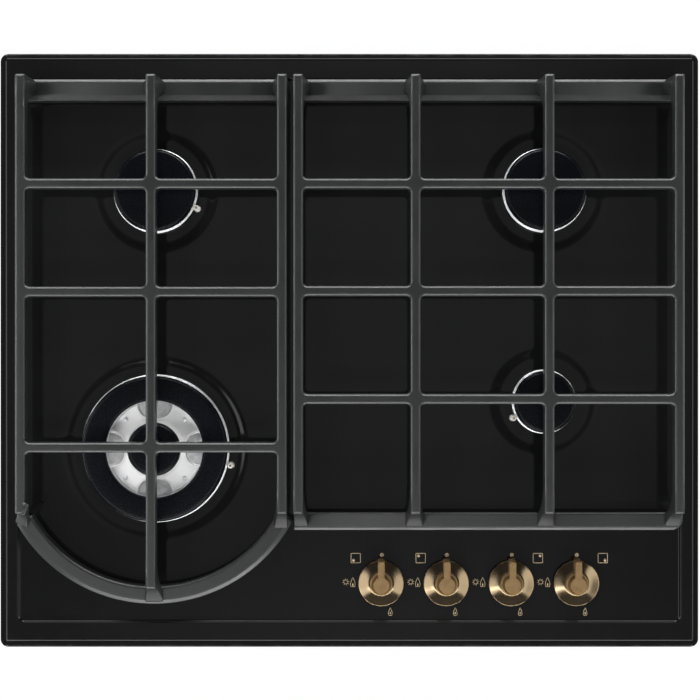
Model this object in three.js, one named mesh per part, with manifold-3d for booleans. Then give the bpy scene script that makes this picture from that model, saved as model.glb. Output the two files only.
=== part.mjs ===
// Built-in gas cooktop with four burners, two cast-iron pan supports and four knobs.
// Millimetres. +X is right, +Y is the rear, +Z is up.
// The origin is the centre of the underside of the base tray.
import * as THREE from "three";
import { mergeVertices } from "three/addons/utils/BufferGeometryUtils.js";
import Module from "manifold-3d";

const wasm = await Module();
wasm.setup();

// ---------------------------------------------------------------- driving dimensions

// Clearance between pieces that seat on or run in each other.
const GAP = 0.3;
// How far a cutting tool reaches past the face that it cuts.
const OVER = 1;
// Edges shorter than this come from faces that meet almost exactly, and are closed up.
const SLIVER = 0.002;

// Top plate: pressed steel sheet, its rim folded down over the worktop.
const PLATE_WIDTH = 600;
const PLATE_DEPTH = 510;
const PLATE_CORNER = 7;
const RIM_ROUND = 3.7;
const SHEET = 1;
const WORKTOP_Z = 44;
const DECK_Z = WORKTOP_Z + 6;
const RECESS_Z = DECK_Z - 1.6;
const RECESS_WIDTH = 571;
const RECESS_FRONT = -232.6;
const RECESS_REAR = 234;
const RECESS_CORNER = 6;
const RECESS_SLOPE = 1.6;
const DISH_Z = RECESS_Z - 1.4;
const DISH_SLOPE = 5;
const SHEET_UNDER = RECESS_Z - SHEET;

// Rim seal: foam strip under the rim.
const SEAL_INSET = 6;
const SEAL_WIDTH = 6;

// Base tray: open sheet-metal box that hangs in the worktop cut-out.
const TRAY_WIDTH = 550;
const TRAY_DEPTH = 458;
const TRAY_CORNER = 8;
const TRAY_SHEET = 1;
const VENT_COUNT = 5;
const VENT_PITCH = 14;
const VENT_LENGTH = 70;
const VENT_WIDTH = 5;

// Burners. radius is the crown's, dish is the outer radius of the pressed dish round it,
// spark is the place of the igniter and inlet the direction of the gas boss.
const BURNERS = {
  front_left: { x: -165.9, y: -84, radius: 63.4, dish: 76.2, spark: { r: 65.8, angle: -12.8 }, inlet: 0 },
  rear_left: { x: -165.8, y: 136.4, radius: 36.1, dish: 52.4, spark: { r: 38.1, angle: -22.7 }, inlet: 0 },
  rear_right: { x: 167, y: 137, radius: 36.1, dish: 52.4, spark: { r: 38.1, angle: 173.5 }, inlet: 180 },
  front_right: { x: 166.5, y: -43.9, radius: 27.5, dish: 45.5, spark: { r: 29.6, angle: 208.5 }, inlet: -90 },
};
const TRIPLE = "front_left";
// Heights over the dish floor that all the burners share.
const COLLAR_H = 4;
const CROWN_BASE = COLLAR_H + GAP;
const CROWN_TOP = 13.3;
// Bright lip that shows outside the cap, under the flame ports.
const LIP_H = 2.4;
const LIP_WIDTH = 1.3;
const CAP_H = 5.2;
// A cap stops short of its crown's radius, so that the crown's lip shows round it.
const CAP_INSET = 0.9;
const PORT_DEPTH = 4.5;
const PORT_WIDTH = 2;
const IGNITER_R = 2.2;
const IGNITER_TOP = 11;
const FLANGE_H = 3.5;
const CUP_DEPTH = 34;
const GAS_BOSS_R = 5.5;
const GAS_BOSS_Z = -29;
// Triple crown: the silver ring between the inner pot and the outer flame ring.
const INNER_CAP_R = 22.8;
const SILVER_R = 39.5;
const INNER_TOP = 18.3;
const DUCT_COUNT = 4;
const TRIPLE_PORTS = 16;
const POT_PORTS = 8;
const PORTS_PER_MM = 0.34;

// Knobs, one over each tap, in a row at the front.
const KNOBS = ["front_left", "rear_left", "rear_right", "front_right"];
const KNOB_X = 27.2;
const KNOB_PITCH = 55.8;
const KNOB_Y = -199.6;
const KNOB_R = 19.4;
const KNOB_TRAVEL = 3;
const KNOB_FOOT = KNOB_TRAVEL + 0.6;
const BOSS_R = 9.9;
const BOSS_TOP = 12;
const GRIP_R = 7;
const GRIP_HALF = 3.2;
const GRIP_REACH = 22.1;
const GRIP_TOP_REACH = 19.9;
const GRIP_BOTTOM = 5.3;
const GRIP_TOP = 20.5;
const SPINDLE_R = 3;
const SPINDLE_FLAT = 2;
const SPINDLE_TOP = 15.5;
const SPINDLE_BOTTOM_Z = 21;

// Gas train.
const TAP_TOP_Z = 36;
const TAP_R = 11;
const PLUG_BOTTOM_Z = 14;
const PLUG_TOP_Z = 30;
const PLUG_SMALL_R = 4.9;
const PLUG_LARGE_R = 6.2;
const GAS_Z = 20;
const PIPE_R = 3.5;
const MANIFOLD_R = 7;
const MANIFOLD_Y = KNOB_Y - TAP_R - MANIFOLD_R - 1;
const MANIFOLD_Z = 16;
const INLET_X = 252;
const INLET_R = 10.4;

// Gland for the mains cord, in the tray's rear wall.
const GLAND_X = 25;
const GLAND_Z = 15;
const GLAND_R = 6;

// Pan supports: cast-iron grids, their tops all at one height.
const GRID_TOP = RECESS_Z + 45;
const BAR_H = 11;
const BAR_TOP_HALF = 2.5;
const BAR_SHOULDER_HALF = 4;
const BAR_SHOULDER = 2.2;
const BAR_HALF = 4.6;
const RAIL_SHARE = 0.9;
const FILLET = 3;
const LOW_TOP = RECESS_Z + 18;
const LOW_BOTTOM = RECESS_Z + 4;
const LOW_HALF = 7.2;
const LOW_TOP_HALF = 5.4;
const LOW_SHOULDER_HALF = 6.6;
const LOW_BEVEL_H = 2;
const REAR_DEPTH = 18.5;
const REAR_BEVEL = 4.6;
const FRONT_DEPTH = 12;
const FRONT_BEVEL = 0.8;
const FRONT_CORNER = 9.5;
// Legs: a flare is the radius beside a low member, a lean how far it runs out per mm of height.
const REAR_LEG_DEPTH = 14.4;
const REAR_FLARE = 6;
const FRONT_FLARE = 4;
const FRONT_LEAN = 0.48;
const FRONT_MEMBER_LEAN = 0.32;
const ARC_LEAN = 0.55;
const LEG_ROOT_Z = LOW_TOP - 3;
const HAUNCH_SIZE = 13;
const HAUNCH_STEPS = 3;
// The outer feet of the side rails stand a little outside the rails' tops.
const LEFT_END = -282.5;
const RIGHT_END = 283;
const REAR_Y = 230.4;
const FRONT_TOP_Y = -136.3;
const ARC = { x: -167.5, y: -80.4, radius: 126.1 };
const ARC_LEG_Y = -198.7;
// The left rail's front leg faces a little to the left, in degrees.
const LEFT_LEG_FACING = -24;
const LEFT_GRID = { bars: [-274.7, -165.7, -56.3], crossings: [139.2, 49, -81.1] };
const RIGHT_GRID = { bars: [-42.8, 55.3, 167, 275.5], crossings: [139.2, 49.6, -40.6] };
const FOOT_R = 5;
const FOOT_STEM_R = 2.2;
const FOOT_STEM_H = 3;

// Facets of a full turn, by size.
const TURN = { bolt: 6, tiny: 8, small: 10, knob: 16, medium: 20, large: 24 };

// ---------------------------------------------------------------- finishes

const FINISHES = {
  enamel: { color: 0x161718, roughness: 0.16, metalness: 0 },
  cap_enamel: { color: 0x121318, roughness: 0.4, metalness: 0 },
  cast_iron: { color: 0x3a3c3c, roughness: 0.6, metalness: 0.1 },
  aluminium: { color: 0xc4c6c8, roughness: 0.35, metalness: 1 },
  antique_brass: { color: 0x9a7850, roughness: 0.35, metalness: 1 },
  brass: { color: 0xb8954a, roughness: 0.3, metalness: 1 },
  steel: { color: 0x9a9c9e, roughness: 0.4, metalness: 1 },
  ceramic: { color: 0xe8e6e0, roughness: 0.4, metalness: 0 },
  rubber: { color: 0x1c1c1c, roughness: 0.8, metalness: 0 },
  plastic: { color: 0x202224, roughness: 0.5, metalness: 0 },
};

// ---------------------------------------------------------------- solids

// A closed geometry as a manifold solid: shared vertices merged, collapsed triangles dropped.
function toSolid(geometry) {
  const bare = new THREE.BufferGeometry();
  bare.setAttribute("position", geometry.getAttribute("position"));
  bare.setIndex(geometry.getIndex());
  const merged = mergeVertices(bare, 1e-4);
  const index = merged.getIndex().array;
  const kept = [];
  for (let i = 0; i < index.length; i += 3) {
    const [a, b, c] = index.slice(i, i + 3);
    if (a !== b && b !== c && c !== a) kept.push(a, b, c);
  }
  const vertProperties = new Float32Array(merged.getAttribute("position").array);
  const triVerts = new Uint32Array(kept);
  return new wasm.Manifold(new wasm.Mesh({ numProp: 3, vertProperties, triVerts }));
}

// The triangles of a joined or cut solid, without the slivers that coplanar faces leave.
function toGeometry(solid) {
  const mesh = solid.simplify(SLIVER).getMesh();
  const geometry = new THREE.BufferGeometry();
  geometry.setAttribute("position", new THREE.BufferAttribute(mesh.vertProperties, 3));
  geometry.setIndex(new THREE.BufferAttribute(mesh.triVerts, 1));
  return geometry;
}

const join = (...pieces) => toGeometry(pieces.map(toSolid).reduce((a, b) => a.add(b)));

function cut(piece, ...tools) {
  return toGeometry(tools.map(toSolid).reduce((a, b) => a.subtract(b), toSolid(piece)));
}

function block(x0, x1, y0, y1, z0, z1) {
  const box = new THREE.BoxGeometry(x1 - x0, y1 - y0, z1 - z0);
  return box.translate((x0 + x1) / 2, (y0 + y1) / 2, (z0 + z1) / 2);
}

// An upright cylinder at (x, y).
function rod(radius, z0, z1, sides, x = 0, y = 0) {
  const cylinder = new THREE.CylinderGeometry(radius, radius, z1 - z0, sides).rotateX(Math.PI / 2);
  return cylinder.translate(x, y, (z0 + z1) / 2);
}

// A cylinder that starts at a distance from the Z axis and runs outwards at an angle in degrees.
function spoke(radius, from, to, z, angle, sides) {
  const cylinder = new THREE.CylinderGeometry(radius, radius, to - from, sides).rotateZ(Math.PI / 2);
  return cylinder.translate((from + to) / 2, 0, z).rotateZ(THREE.MathUtils.degToRad(angle));
}

// A turned piece. The profile is [r, z] points, anticlockwise, from axis to axis or closing on itself.
function turned(profile, sides) {
  const points = profile.map(([r, z]) => new THREE.Vector2(r, z));
  const onAxis = profile[0][0] === 0 && profile.at(-1)[0] === 0;
  if (!onAxis) points.push(points[0].clone());
  return new THREE.LatheGeometry(points, sides).rotateX(Math.PI / 2);
}

function slab(shape, z0, z1, curveSegments = 4) {
  const settings = { depth: z1 - z0, bevelEnabled: false, curveSegments };
  return new THREE.ExtrudeGeometry(shape, settings).translate(0, 0, z0);
}

// A straight-sided outline from a list of [x, y] points.
const outline = (points) => new THREE.Shape(points.map(([x, y]) => new THREE.Vector2(x, y)));

// A slab of a profile drawn in the YZ plane, spread along X.
function slice(points, x0, x1) {
  const toUpright = new THREE.Matrix4().set(0, 0, 1, 0, 1, 0, 0, 0, 0, 1, 0, 0, 0, 0, 0, 1);
  return slab(outline(points), x0, x1).applyMatrix4(toUpright);
}

// Repeats a tool round the Z axis.
function around(tool, count, firstAngle = 0) {
  const step = (2 * Math.PI) / count;
  const first = THREE.MathUtils.degToRad(firstAngle);
  return Array.from({ length: count }, (_, i) => tool.clone().rotateZ(first + i * step));
}

function roundedRect(width, depth, radius, y = 0) {
  const dx = width / 2 - radius;
  const dy = depth / 2 - radius;
  const shape = new THREE.Shape();
  [[dx, -dy], [dx, dy], [-dx, dy], [-dx, -dy]].forEach(([cx, cy], i) => {
    shape.absarc(cx, cy + y, radius, (i - 1) * (Math.PI / 2), i * (Math.PI / 2));
  });
  return shape;
}

// A solid lofted through level outlines of equal point counts, given from the bottom up as [z, shape].
function loft(levels) {
  const rings = levels.map(([z, shape]) => shape.getPoints(2).map((p) => new THREE.Vector3(p.x, p.y, z)));
  const count = rings[0].length;
  const index = [];
  for (let level = 0; level < rings.length - 1; level += 1) {
    for (let i = 0; i < count; i += 1) {
      const a = level * count + i;
      const b = level * count + ((i + 1) % count);
      index.push(a, b, b + count, a, b + count, a + count);
    }
  }
  const top = (rings.length - 1) * count;
  THREE.ShapeUtils.triangulateShape(rings[0], []).forEach(([a, b, c]) => {
    index.push(c, b, a, top + a, top + b, top + c);
  });
  return new THREE.BufferGeometry().setFromPoints(rings.flat()).setIndex(index);
}

// A round bar along a smooth curve through points.
function tube(points, radius, sides, steps) {
  const turnStep = (2 * Math.PI) / sides;
  const section = Array.from({ length: sides }, (_, i) => [
    radius * Math.cos(i * turnStep),
    radius * Math.sin(i * turnStep),
  ]);
  const extrudePath = new THREE.CatmullRomCurve3(points.map((p) => new THREE.Vector3(...p)));
  return new THREE.ExtrudeGeometry(outline(section), { steps, extrudePath, bevelEnabled: false });
}

// ---------------------------------------------------------------- assembly

const hob = new THREE.Group();
hob.name = "gas_cooktop";

// Adds a named piece to a group.
function addPiece(group, name, geometry, finish) {
  const mesh = new THREE.Mesh(geometry, new THREE.MeshStandardMaterial(FINISHES[finish]));
  mesh.name = name;
  mesh.geometry.computeVertexNormals();
  group.add(mesh);
  return mesh;
}

function groupAt(x, y, z) {
  const group = new THREE.Group();
  group.position.set(x, y, z);
  hob.add(group);
  return group;
}

const knobX = (i) => KNOB_X + i * KNOB_PITCH;

function igniterPlace(burner) {
  const angle = THREE.MathUtils.degToRad(burner.spark.angle);
  return [burner.spark.r * Math.cos(angle), burner.spark.r * Math.sin(angle)];
}

// ---------------------------------------------------------------- top plate, seal and tray

const collarRadius = (burner) => burner.radius - (burner === BURNERS[TRIPLE] ? 17 : 7);

// The plate's outside (inset 0), or the hollow under it (inset one sheet thickness).
function plateForm(inset) {
  const levels = [[WORKTOP_Z + 0.6 - inset * 4, roundedRectInset(inset)]];
  [0, 30, 60, 90].forEach((angle) => {
    const turn = THREE.MathUtils.degToRad(angle);
    const round = RIM_ROUND - inset;
    const z = DECK_Z - inset - round * (1 - Math.sin(turn));
    levels.push([z, roundedRectInset(inset + round * (1 - Math.cos(turn)))]);
  });
  const recess = pocket(inset);
  const dishes = Object.values(BURNERS).map((burner) => dish(burner, inset));
  return cut(loft(levels), recess, ...dishes);
}

function roundedRectInset(inset) {
  const corner = Math.max(PLATE_CORNER - inset, 2);
  return roundedRect(PLATE_WIDTH - 2 * inset, PLATE_DEPTH - 2 * inset, corner);
}

// The shallow recess that holds the burners and the knobs.
function pocket(inset) {
  const depth = RECESS_REAR - RECESS_FRONT;
  const middle = (RECESS_REAR + RECESS_FRONT) / 2;
  const level = (z, slope) => {
    const grow = slope + inset;
    return [z - inset, roundedRect(RECESS_WIDTH + 2 * grow, depth + 2 * grow, RECESS_CORNER + grow, middle)];
  };
  return loft([level(RECESS_Z, -RECESS_SLOPE), level(DECK_Z, 0), level(DECK_Z + OVER + inset, 0)]);
}

// The pressed dish round a burner.
function dish(burner, inset) {
  const floor = DISH_Z - inset;
  const rim = burner.dish + inset / 2;
  const profile = [
    [0, floor],
    [rim - DISH_SLOPE, floor],
    [rim, RECESS_Z - inset],
    [rim, RECESS_Z - inset + OVER],
    [0, RECESS_Z - inset + OVER],
  ];
  const sides = burner === BURNERS[TRIPLE] ? TURN.large : TURN.medium;
  return turned(profile, sides).translate(burner.x, burner.y, 0);
}

function topPlate() {
  const holes = Object.values(BURNERS).flatMap((burner) => {
    const [x, y] = igniterPlace(burner);
    const burnerHole = rod(collarRadius(burner) + 0.5, WORKTOP_Z, DECK_Z, TURN.medium, burner.x, burner.y);
    const igniterHole = rod(IGNITER_R + 0.8, WORKTOP_Z, DECK_Z, TURN.tiny, burner.x + x, burner.y + y);
    return [burnerHole, igniterHole];
  });
  const knobHoles = KNOBS.map((_, i) => rod(10, WORKTOP_Z, DECK_Z, TURN.small, knobX(i), KNOB_Y));
  return cut(plateForm(0), plateForm(SHEET), ...holes, ...knobHoles);
}

function rimSeal() {
  const outer = roundedRectInset(SEAL_INSET);
  const inner = roundedRectInset(SEAL_INSET + SEAL_WIDTH);
  const top = DECK_Z - SHEET - GAP;
  return cut(slab(outer, WORKTOP_Z, top, 2), slab(inner, WORKTOP_Z - OVER, top + OVER, 2));
}

function baseTray() {
  const shell = (inset, z0, z1) => {
    const corner = TRAY_CORNER - inset;
    return slab(roundedRect(TRAY_WIDTH - 2 * inset, TRAY_DEPTH - 2 * inset, corner), z0, z1, 2);
  };
  const top = SHEET_UNDER - GAP;
  const rear = TRAY_DEPTH / 2;
  const side = TRAY_WIDTH / 2;
  const wallHole = (radius, x, z) => spoke(radius, rear - 5, rear + 5, z, 90, TURN.small).translate(x, 0, 0);
  const inletHole = wallHole(INLET_R + GAP, INLET_X, MANIFOLD_Z);
  const glandHole = wallHole(GLAND_R + GAP, GLAND_X, GLAND_Z);
  // Air slots in the floor under the knobs, and a slot for a worktop clamp near each corner.
  const vents = Array.from({ length: VENT_COUNT }, (_, i) => {
    const x = 60 + i * VENT_PITCH;
    return block(x, x + VENT_WIDTH, -150, -150 + VENT_LENGTH, -OVER, TRAY_SHEET + OVER);
  });
  const clampSlots = [-1, 1].flatMap((sx) =>
    [-150, 150].map((y) => block(sx * side - 3, sx * side + 3, y - 15, y + 15, 8, 14)),
  );
  const hollow = shell(TRAY_SHEET, TRAY_SHEET, top + OVER);
  return cut(shell(0, 0, top), hollow, inletHole, glandHole, ...vents, ...clampSlots);
}

addPiece(hob, "top_plate", topPlate(), "enamel");
addPiece(hob, "rim_seal", rimSeal(), "rubber");
addPiece(hob, "base_tray", baseTray(), "steel");

// ---------------------------------------------------------------- burners

// The cup under the plate that holds the injector and carries the crown on its collar.
function burnerCup(burner) {
  const isTriple = burner === BURNERS[TRIPLE];
  const collar = collarRadius(burner);
  const flange = isTriple ? 62 : collar + 6;
  const bore = spigotRadius(burner) + GAP;
  const bowl = bore + 4.5;
  const flangeTop = -1 * SHEET - GAP;
  const profile = [
    [0, -CUP_DEPTH],
    [bowl, -CUP_DEPTH],
    [bowl, flangeTop - FLANGE_H],
    [flange, flangeTop - FLANGE_H],
    [flange, flangeTop],
    [collar, flangeTop],
    [collar, COLLAR_H],
    [collar - 3, COLLAR_H],
    [collar - 3, flangeTop - 0.7],
    [bore, flangeTop - 0.7],
    [bore, -CUP_DEPTH + 3],
    [0, -CUP_DEPTH + 3],
  ];
  const body = turned(profile, isTriple ? TURN.medium : TURN.knob);
  const injector = rod(3, -CUP_DEPTH + 2, -CUP_DEPTH + 12, TURN.bolt);
  const boss = spoke(GAS_BOSS_R, bowl - 2, bowl + 8, GAS_BOSS_Z, burner.inlet, TURN.bolt);
  const [x, y] = igniterPlace(burner);
  const ear = rod(5, flangeTop - FLANGE_H, flangeTop, TURN.tiny, x, y);
  const igniterHole = rod(IGNITER_R + GAP, flangeTop - FLANGE_H - OVER, flangeTop + OVER, TURN.tiny, x, y);
  return cut(join(body, injector, boss, ear), igniterHole);
}

const spigotRadius = (burner) => (burner === BURNERS[TRIPLE] ? 15 : burner.radius * 0.36);

// Slots through a flame ring, open at the top, where the cap closes them.
function ports(count, inner, outer, top) {
  const slot = block(inner, outer, -PORT_WIDTH / 2, PORT_WIDTH / 2, top - PORT_DEPTH, top + OVER);
  return around(slot, count, 180 / count);
}

function igniterNotch(burner) {
  return rod(IGNITER_R + 0.5, 0, CROWN_TOP + OVER, TURN.small, ...igniterPlace(burner));
}

// Crown of a plain burner: a pot with a spigot below and a slotted flame ring above.
function plainCrown(burner, portCount) {
  const r = burner.radius;
  const spigot = spigotRadius(burner);
  const profile = [
    [spigot - 2.5, CROWN_BASE - 10],
    [spigot, CROWN_BASE - 10],
    [spigot, CROWN_BASE],
    [r, CROWN_BASE + 0.6],
    [r, CROWN_BASE + LIP_H],
    [r - LIP_WIDTH, CROWN_BASE + LIP_H + 0.5],
    [r - 2.5, CROWN_TOP],
    [r - 6.5, CROWN_TOP],
    [r - 6.5, CROWN_BASE + 3],
    [spigot - 2.5, CROWN_BASE + 3],
  ];
  const body = turned(profile, TURN.medium);
  return cut(body, ...ports(portCount, r - 9, r + 2, CROWN_TOP), igniterNotch(burner));
}

// A domed cap with a rib under it that centres it in the flame ring.
function plainCap(radius, ribRadius, seat) {
  const under = seat + GAP;
  const profile = [
    [0, under],
    [ribRadius - 2, under],
    [ribRadius - 2, seat - 1.6],
    [ribRadius, seat - 1.6],
    [ribRadius, under],
    [radius, under],
    [radius, seat + CAP_H - 1.6],
    [radius - 1.6, seat + CAP_H],
    [0, seat + CAP_H + 0.4],
  ];
  return turned(profile, TURN.medium);
}

// One of the ducts that carry gas across the silver ring: narrow at the pot, flared at the flame ring.
function duct() {
  const shape = new THREE.Shape();
  shape.moveTo(18.5, -3.4);
  shape.lineTo(28, -3.8);
  shape.quadraticCurveTo(34, -4.6, SILVER_R + 2, -12);
  shape.lineTo(SILVER_R + 2, 12);
  shape.quadraticCurveTo(34, 4.6, 28, 3.8);
  shape.lineTo(18.5, 3.4);
  return slab(shape, CROWN_BASE + 2, CROWN_TOP - 0.8, 3);
}

// Crown of the triple-crown burner: outer flame ring, silver ring with ducts, inner pot.
function tripleCrown(burner) {
  const r = burner.radius;
  const spigot = spigotRadius(burner);
  const flameRing = turned([
    [SILVER_R - 1, CROWN_BASE + 0.4],
    [r, CROWN_BASE + 0.6],
    [r, CROWN_BASE + LIP_H],
    [r - LIP_WIDTH, CROWN_BASE + LIP_H + 0.5],
    [r - 2.5, CROWN_TOP],
    [r - 6.5, CROWN_TOP],
    [r - 6.5, CROWN_BASE + 4],
    [46, CROWN_BASE + 4],
    [46, CROWN_TOP],
    [SILVER_R + 1, CROWN_TOP],
    [SILVER_R - 1, CROWN_BASE + 3.4],
  ], TURN.large);
  const pot = turned([
    [spigot - 3, CROWN_BASE - 10],
    [spigot, CROWN_BASE - 10],
    [spigot, CROWN_BASE],
    [SILVER_R, CROWN_BASE + 0.4],
    [SILVER_R, CROWN_BASE + 3.4],
    [INNER_CAP_R, CROWN_BASE + 6],
    [INNER_CAP_R - 1, INNER_TOP],
    [INNER_CAP_R - 4, INNER_TOP],
    [INNER_CAP_R - 4, CROWN_BASE + 4],
    [spigot - 3, CROWN_BASE + 4],
  ], TURN.medium);
  const body = join(flameRing, pot, ...around(duct(), DUCT_COUNT));
  const outerPorts = ports(TRIPLE_PORTS, r - 9, r + 2, CROWN_TOP);
  const innerPorts = ports(POT_PORTS, INNER_CAP_R - 5, INNER_CAP_R + 1, INNER_TOP);
  return cut(body, ...outerPorts, ...innerPorts);
}

// Black ring that closes the outer flame ring of the triple crown.
function ringCap(burner) {
  const outer = burner.radius - CAP_INSET;
  const inner = SILVER_R + 1.8;
  const under = CROWN_TOP + GAP;
  return turned([
    [inner, under],
    [47, under],
    [47, CROWN_TOP - 1.6],
    [49, CROWN_TOP - 1.6],
    [49, under],
    [outer, under],
    [outer, CROWN_TOP + CAP_H - 1.6],
    [outer - 1.6, CROWN_TOP + CAP_H],
    [inner + 1.4, CROWN_TOP + CAP_H],
    [inner, CROWN_TOP + CAP_H - 1.2],
  ], TURN.large);
}

// Spark rod: a ceramic body held under the cup's ear, with a metal tip.
function igniter() {
  const shoulder = -1 * SHEET - GAP - FLANGE_H - GAP;
  return turned([
    [0, -20],
    [3.6, shoulder - 4],
    [3.6, shoulder],
    [IGNITER_R, shoulder],
    [IGNITER_R, IGNITER_TOP],
    [0.9, IGNITER_TOP],
    [0.9, IGNITER_TOP + 3.2],
    [0, IGNITER_TOP + 3.2],
  ], TURN.tiny);
}

Object.entries(BURNERS).forEach(([place, burner]) => {
  const group = groupAt(burner.x, burner.y, DISH_Z);
  addPiece(group, `${place}_burner_cup`, burnerCup(burner), "aluminium");
  const [x, y] = igniterPlace(burner);
  addPiece(group, `${place}_igniter`, igniter(), "ceramic").position.set(x, y, 0);
  if (place === TRIPLE) {
    addPiece(group, `${place}_crown`, tripleCrown(burner), "aluminium");
    addPiece(group, `${place}_ring_cap`, ringCap(burner), "cap_enamel");
    addPiece(group, `${place}_inner_cap`, plainCap(INNER_CAP_R, INNER_CAP_R - 4.8, INNER_TOP), "cap_enamel");
  } else {
    const portCount = Math.round(burner.radius * PORTS_PER_MM);
    addPiece(group, `${place}_crown`, plainCrown(burner, portCount), "aluminium");
    const cap = plainCap(burner.radius - CAP_INSET, burner.radius - 7.2, CROWN_TOP);
    addPiece(group, `${place}_cap`, cap, "cap_enamel");
  }
});

// ---------------------------------------------------------------- knobs, seals and taps

// Round bar with one flat side.
function flattedShape(radius, flat) {
  const angle = Math.acos(flat / radius);
  const shape = new THREE.Shape();
  shape.absarc(0, 0, radius, angle, 2 * Math.PI - angle);
  return shape;
}

function knob() {
  const body = turned([
    [0, KNOB_FOOT],
    [KNOB_R, KNOB_FOOT],
    [KNOB_R, KNOB_FOOT + 1.4],
    [KNOB_R - 0.8, KNOB_FOOT + 2.1],
    [12.5, KNOB_FOOT + 3.2],
    [BOSS_R, KNOB_FOOT + 5],
    [BOSS_R, BOSS_TOP],
    [0, BOSS_TOP],
  ], TURN.knob);
  // Keyhole outline: a disc over the boss and a bar that points to the rear.
  const neck = Math.asin(GRIP_HALF / GRIP_R);
  const keyhole = new THREE.Shape();
  keyhole.absarc(0, 0, GRIP_R, Math.PI / 2 + neck, 2.5 * Math.PI - neck);
  keyhole.lineTo(GRIP_HALF, GRIP_REACH - 1);
  keyhole.lineTo(GRIP_HALF - 1, GRIP_REACH);
  keyhole.lineTo(1 - GRIP_HALF, GRIP_REACH);
  keyhole.lineTo(-GRIP_HALF, GRIP_REACH - 1);
  // The free end of the grip slopes back towards its top.
  const beyond = GRIP_REACH + OVER;
  const slope = [
    [GRIP_REACH, GRIP_BOTTOM],
    [beyond, GRIP_BOTTOM],
    [beyond, GRIP_TOP + OVER],
    [GRIP_TOP_REACH, GRIP_TOP + OVER],
  ];
  const grip = cut(slab(keyhole, GRIP_BOTTOM, GRIP_TOP, 3), slice(slope, -GRIP_R, GRIP_R));
  const bore = slab(flattedShape(SPINDLE_R + GAP, SPINDLE_FLAT + GAP), 0, SPINDLE_TOP + GAP, 2);
  return cut(join(body, grip), bore);
}

// Turned part of the tap: a taper plug with a bore for the spindle.
function tapPlug() {
  const body = turned([
    [0, PLUG_BOTTOM_Z],
    [PLUG_SMALL_R, PLUG_BOTTOM_Z],
    [PLUG_LARGE_R, PLUG_TOP_Z],
    [0, PLUG_TOP_Z],
  ], TURN.small);
  return cut(body, rod(SPINDLE_R + GAP, SPINDLE_BOTTOM_Z - KNOB_TRAVEL - GAP, 31, TURN.tiny));
}

function tapSpindle() {
  const top = RECESS_Z + SPINDLE_TOP;
  const flatStart = RECESS_Z + KNOB_FOOT - 1;
  const round = rod(SPINDLE_R, SPINDLE_BOTTOM_Z, flatStart + 0.5, TURN.tiny);
  return join(round, slab(flattedShape(SPINDLE_R, SPINDLE_FLAT), flatStart, top, 2));
}

function tapBody() {
  const barrel = turned([
    [0, 9],
    [TAP_R, 9],
    [TAP_R, TAP_TOP_Z],
    [PLUG_LARGE_R + 1.2, TAP_TOP_Z],
    [PLUG_LARGE_R + 0.7, PLUG_TOP_Z + 0.4],
    [PLUG_SMALL_R + 0.6, PLUG_BOTTOM_Z - GAP],
    [0, PLUG_BOTTOM_Z - GAP],
  ], TURN.small);
  const outlet = spoke(GAS_BOSS_R, TAP_R - 2, TAP_R + 10, GAS_Z, 90, TURN.bolt);
  const nut = spoke(7, TAP_R + 4, TAP_R + 9, GAS_Z, 90, TURN.bolt);
  const inletEnd = MANIFOLD_Y + MANIFOLD_R + GAP - KNOB_Y;
  const saddle = block(-8, 8, inletEnd, -TAP_R + 3, MANIFOLD_Z - 6, MANIFOLD_Z + 6);
  return join(barrel, outlet, nut, saddle);
}

// Seal in the plate's hole round a spindle, held by its flange under the sheet.
function knobSeal() {
  const under = -SHEET - GAP;
  const top = KNOB_FOOT - KNOB_TRAVEL - GAP;
  return turned([
    [SPINDLE_R + 0.6, under - 1.2],
    [12, under - 1.2],
    [12, under],
    [9.7, under],
    [9.7, top],
    [SPINDLE_R + 0.6, top],
  ], TURN.small);
}

KNOBS.forEach((place, i) => {
  const onPlate = groupAt(knobX(i), KNOB_Y, RECESS_Z);
  addPiece(onPlate, `${place}_knob`, knob(), "antique_brass");
  addPiece(onPlate, `${place}_knob_seal`, knobSeal(), "rubber");
  const below = groupAt(knobX(i), KNOB_Y, 0);
  addPiece(below, `${place}_tap_spindle`, tapSpindle(), "steel");
  addPiece(below, `${place}_tap_plug`, tapPlug(), "brass");
  addPiece(below, `${place}_tap_body`, tapBody(), "brass");
});

// ---------------------------------------------------------------- gas train and ignition

// The rail that hangs the taps under the plate.
function tapRail() {
  const x0 = knobX(0) - 24;
  const x1 = knobX(3) + 24;
  const z0 = TAP_TOP_Z + GAP;
  const rail = block(x0, x1, KNOB_Y - 14, KNOB_Y + 14, z0, z0 + 1.5);
  const ends = [x0, x1 - 1.5].map((x) => block(x, x + 1.5, KNOB_Y - 14, KNOB_Y + 14, z0, SHEET_UNDER - GAP));
  const holes = KNOBS.map((_, i) => rod(7, z0 - OVER, z0 + 3, TURN.tiny, knobX(i), KNOB_Y));
  return cut(join(rail, ...ends), ...holes);
}

// Tube along the front under the taps, then along the right side to the rear.
function manifold() {
  const bend = 36;
  const corner = [INLET_X - bend, MANIFOLD_Y + bend];
  const turn = [0, 30, 60, 90].map((angle) => {
    const a = THREE.MathUtils.degToRad(angle - 90);
    return [corner[0] + bend * Math.cos(a), corner[1] + bend * Math.sin(a), MANIFOLD_Z];
  });
  const start = [knobX(0) - 14, MANIFOLD_Y, MANIFOLD_Z];
  const middle = [knobX(2), MANIFOLD_Y, MANIFOLD_Z];
  const sideMiddle = [INLET_X, 0, MANIFOLD_Z];
  const end = [INLET_X, 190, MANIFOLD_Z];
  return tube([start, middle, ...turn, sideMiddle, end], MANIFOLD_R, TURN.tiny, 15);
}

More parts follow.
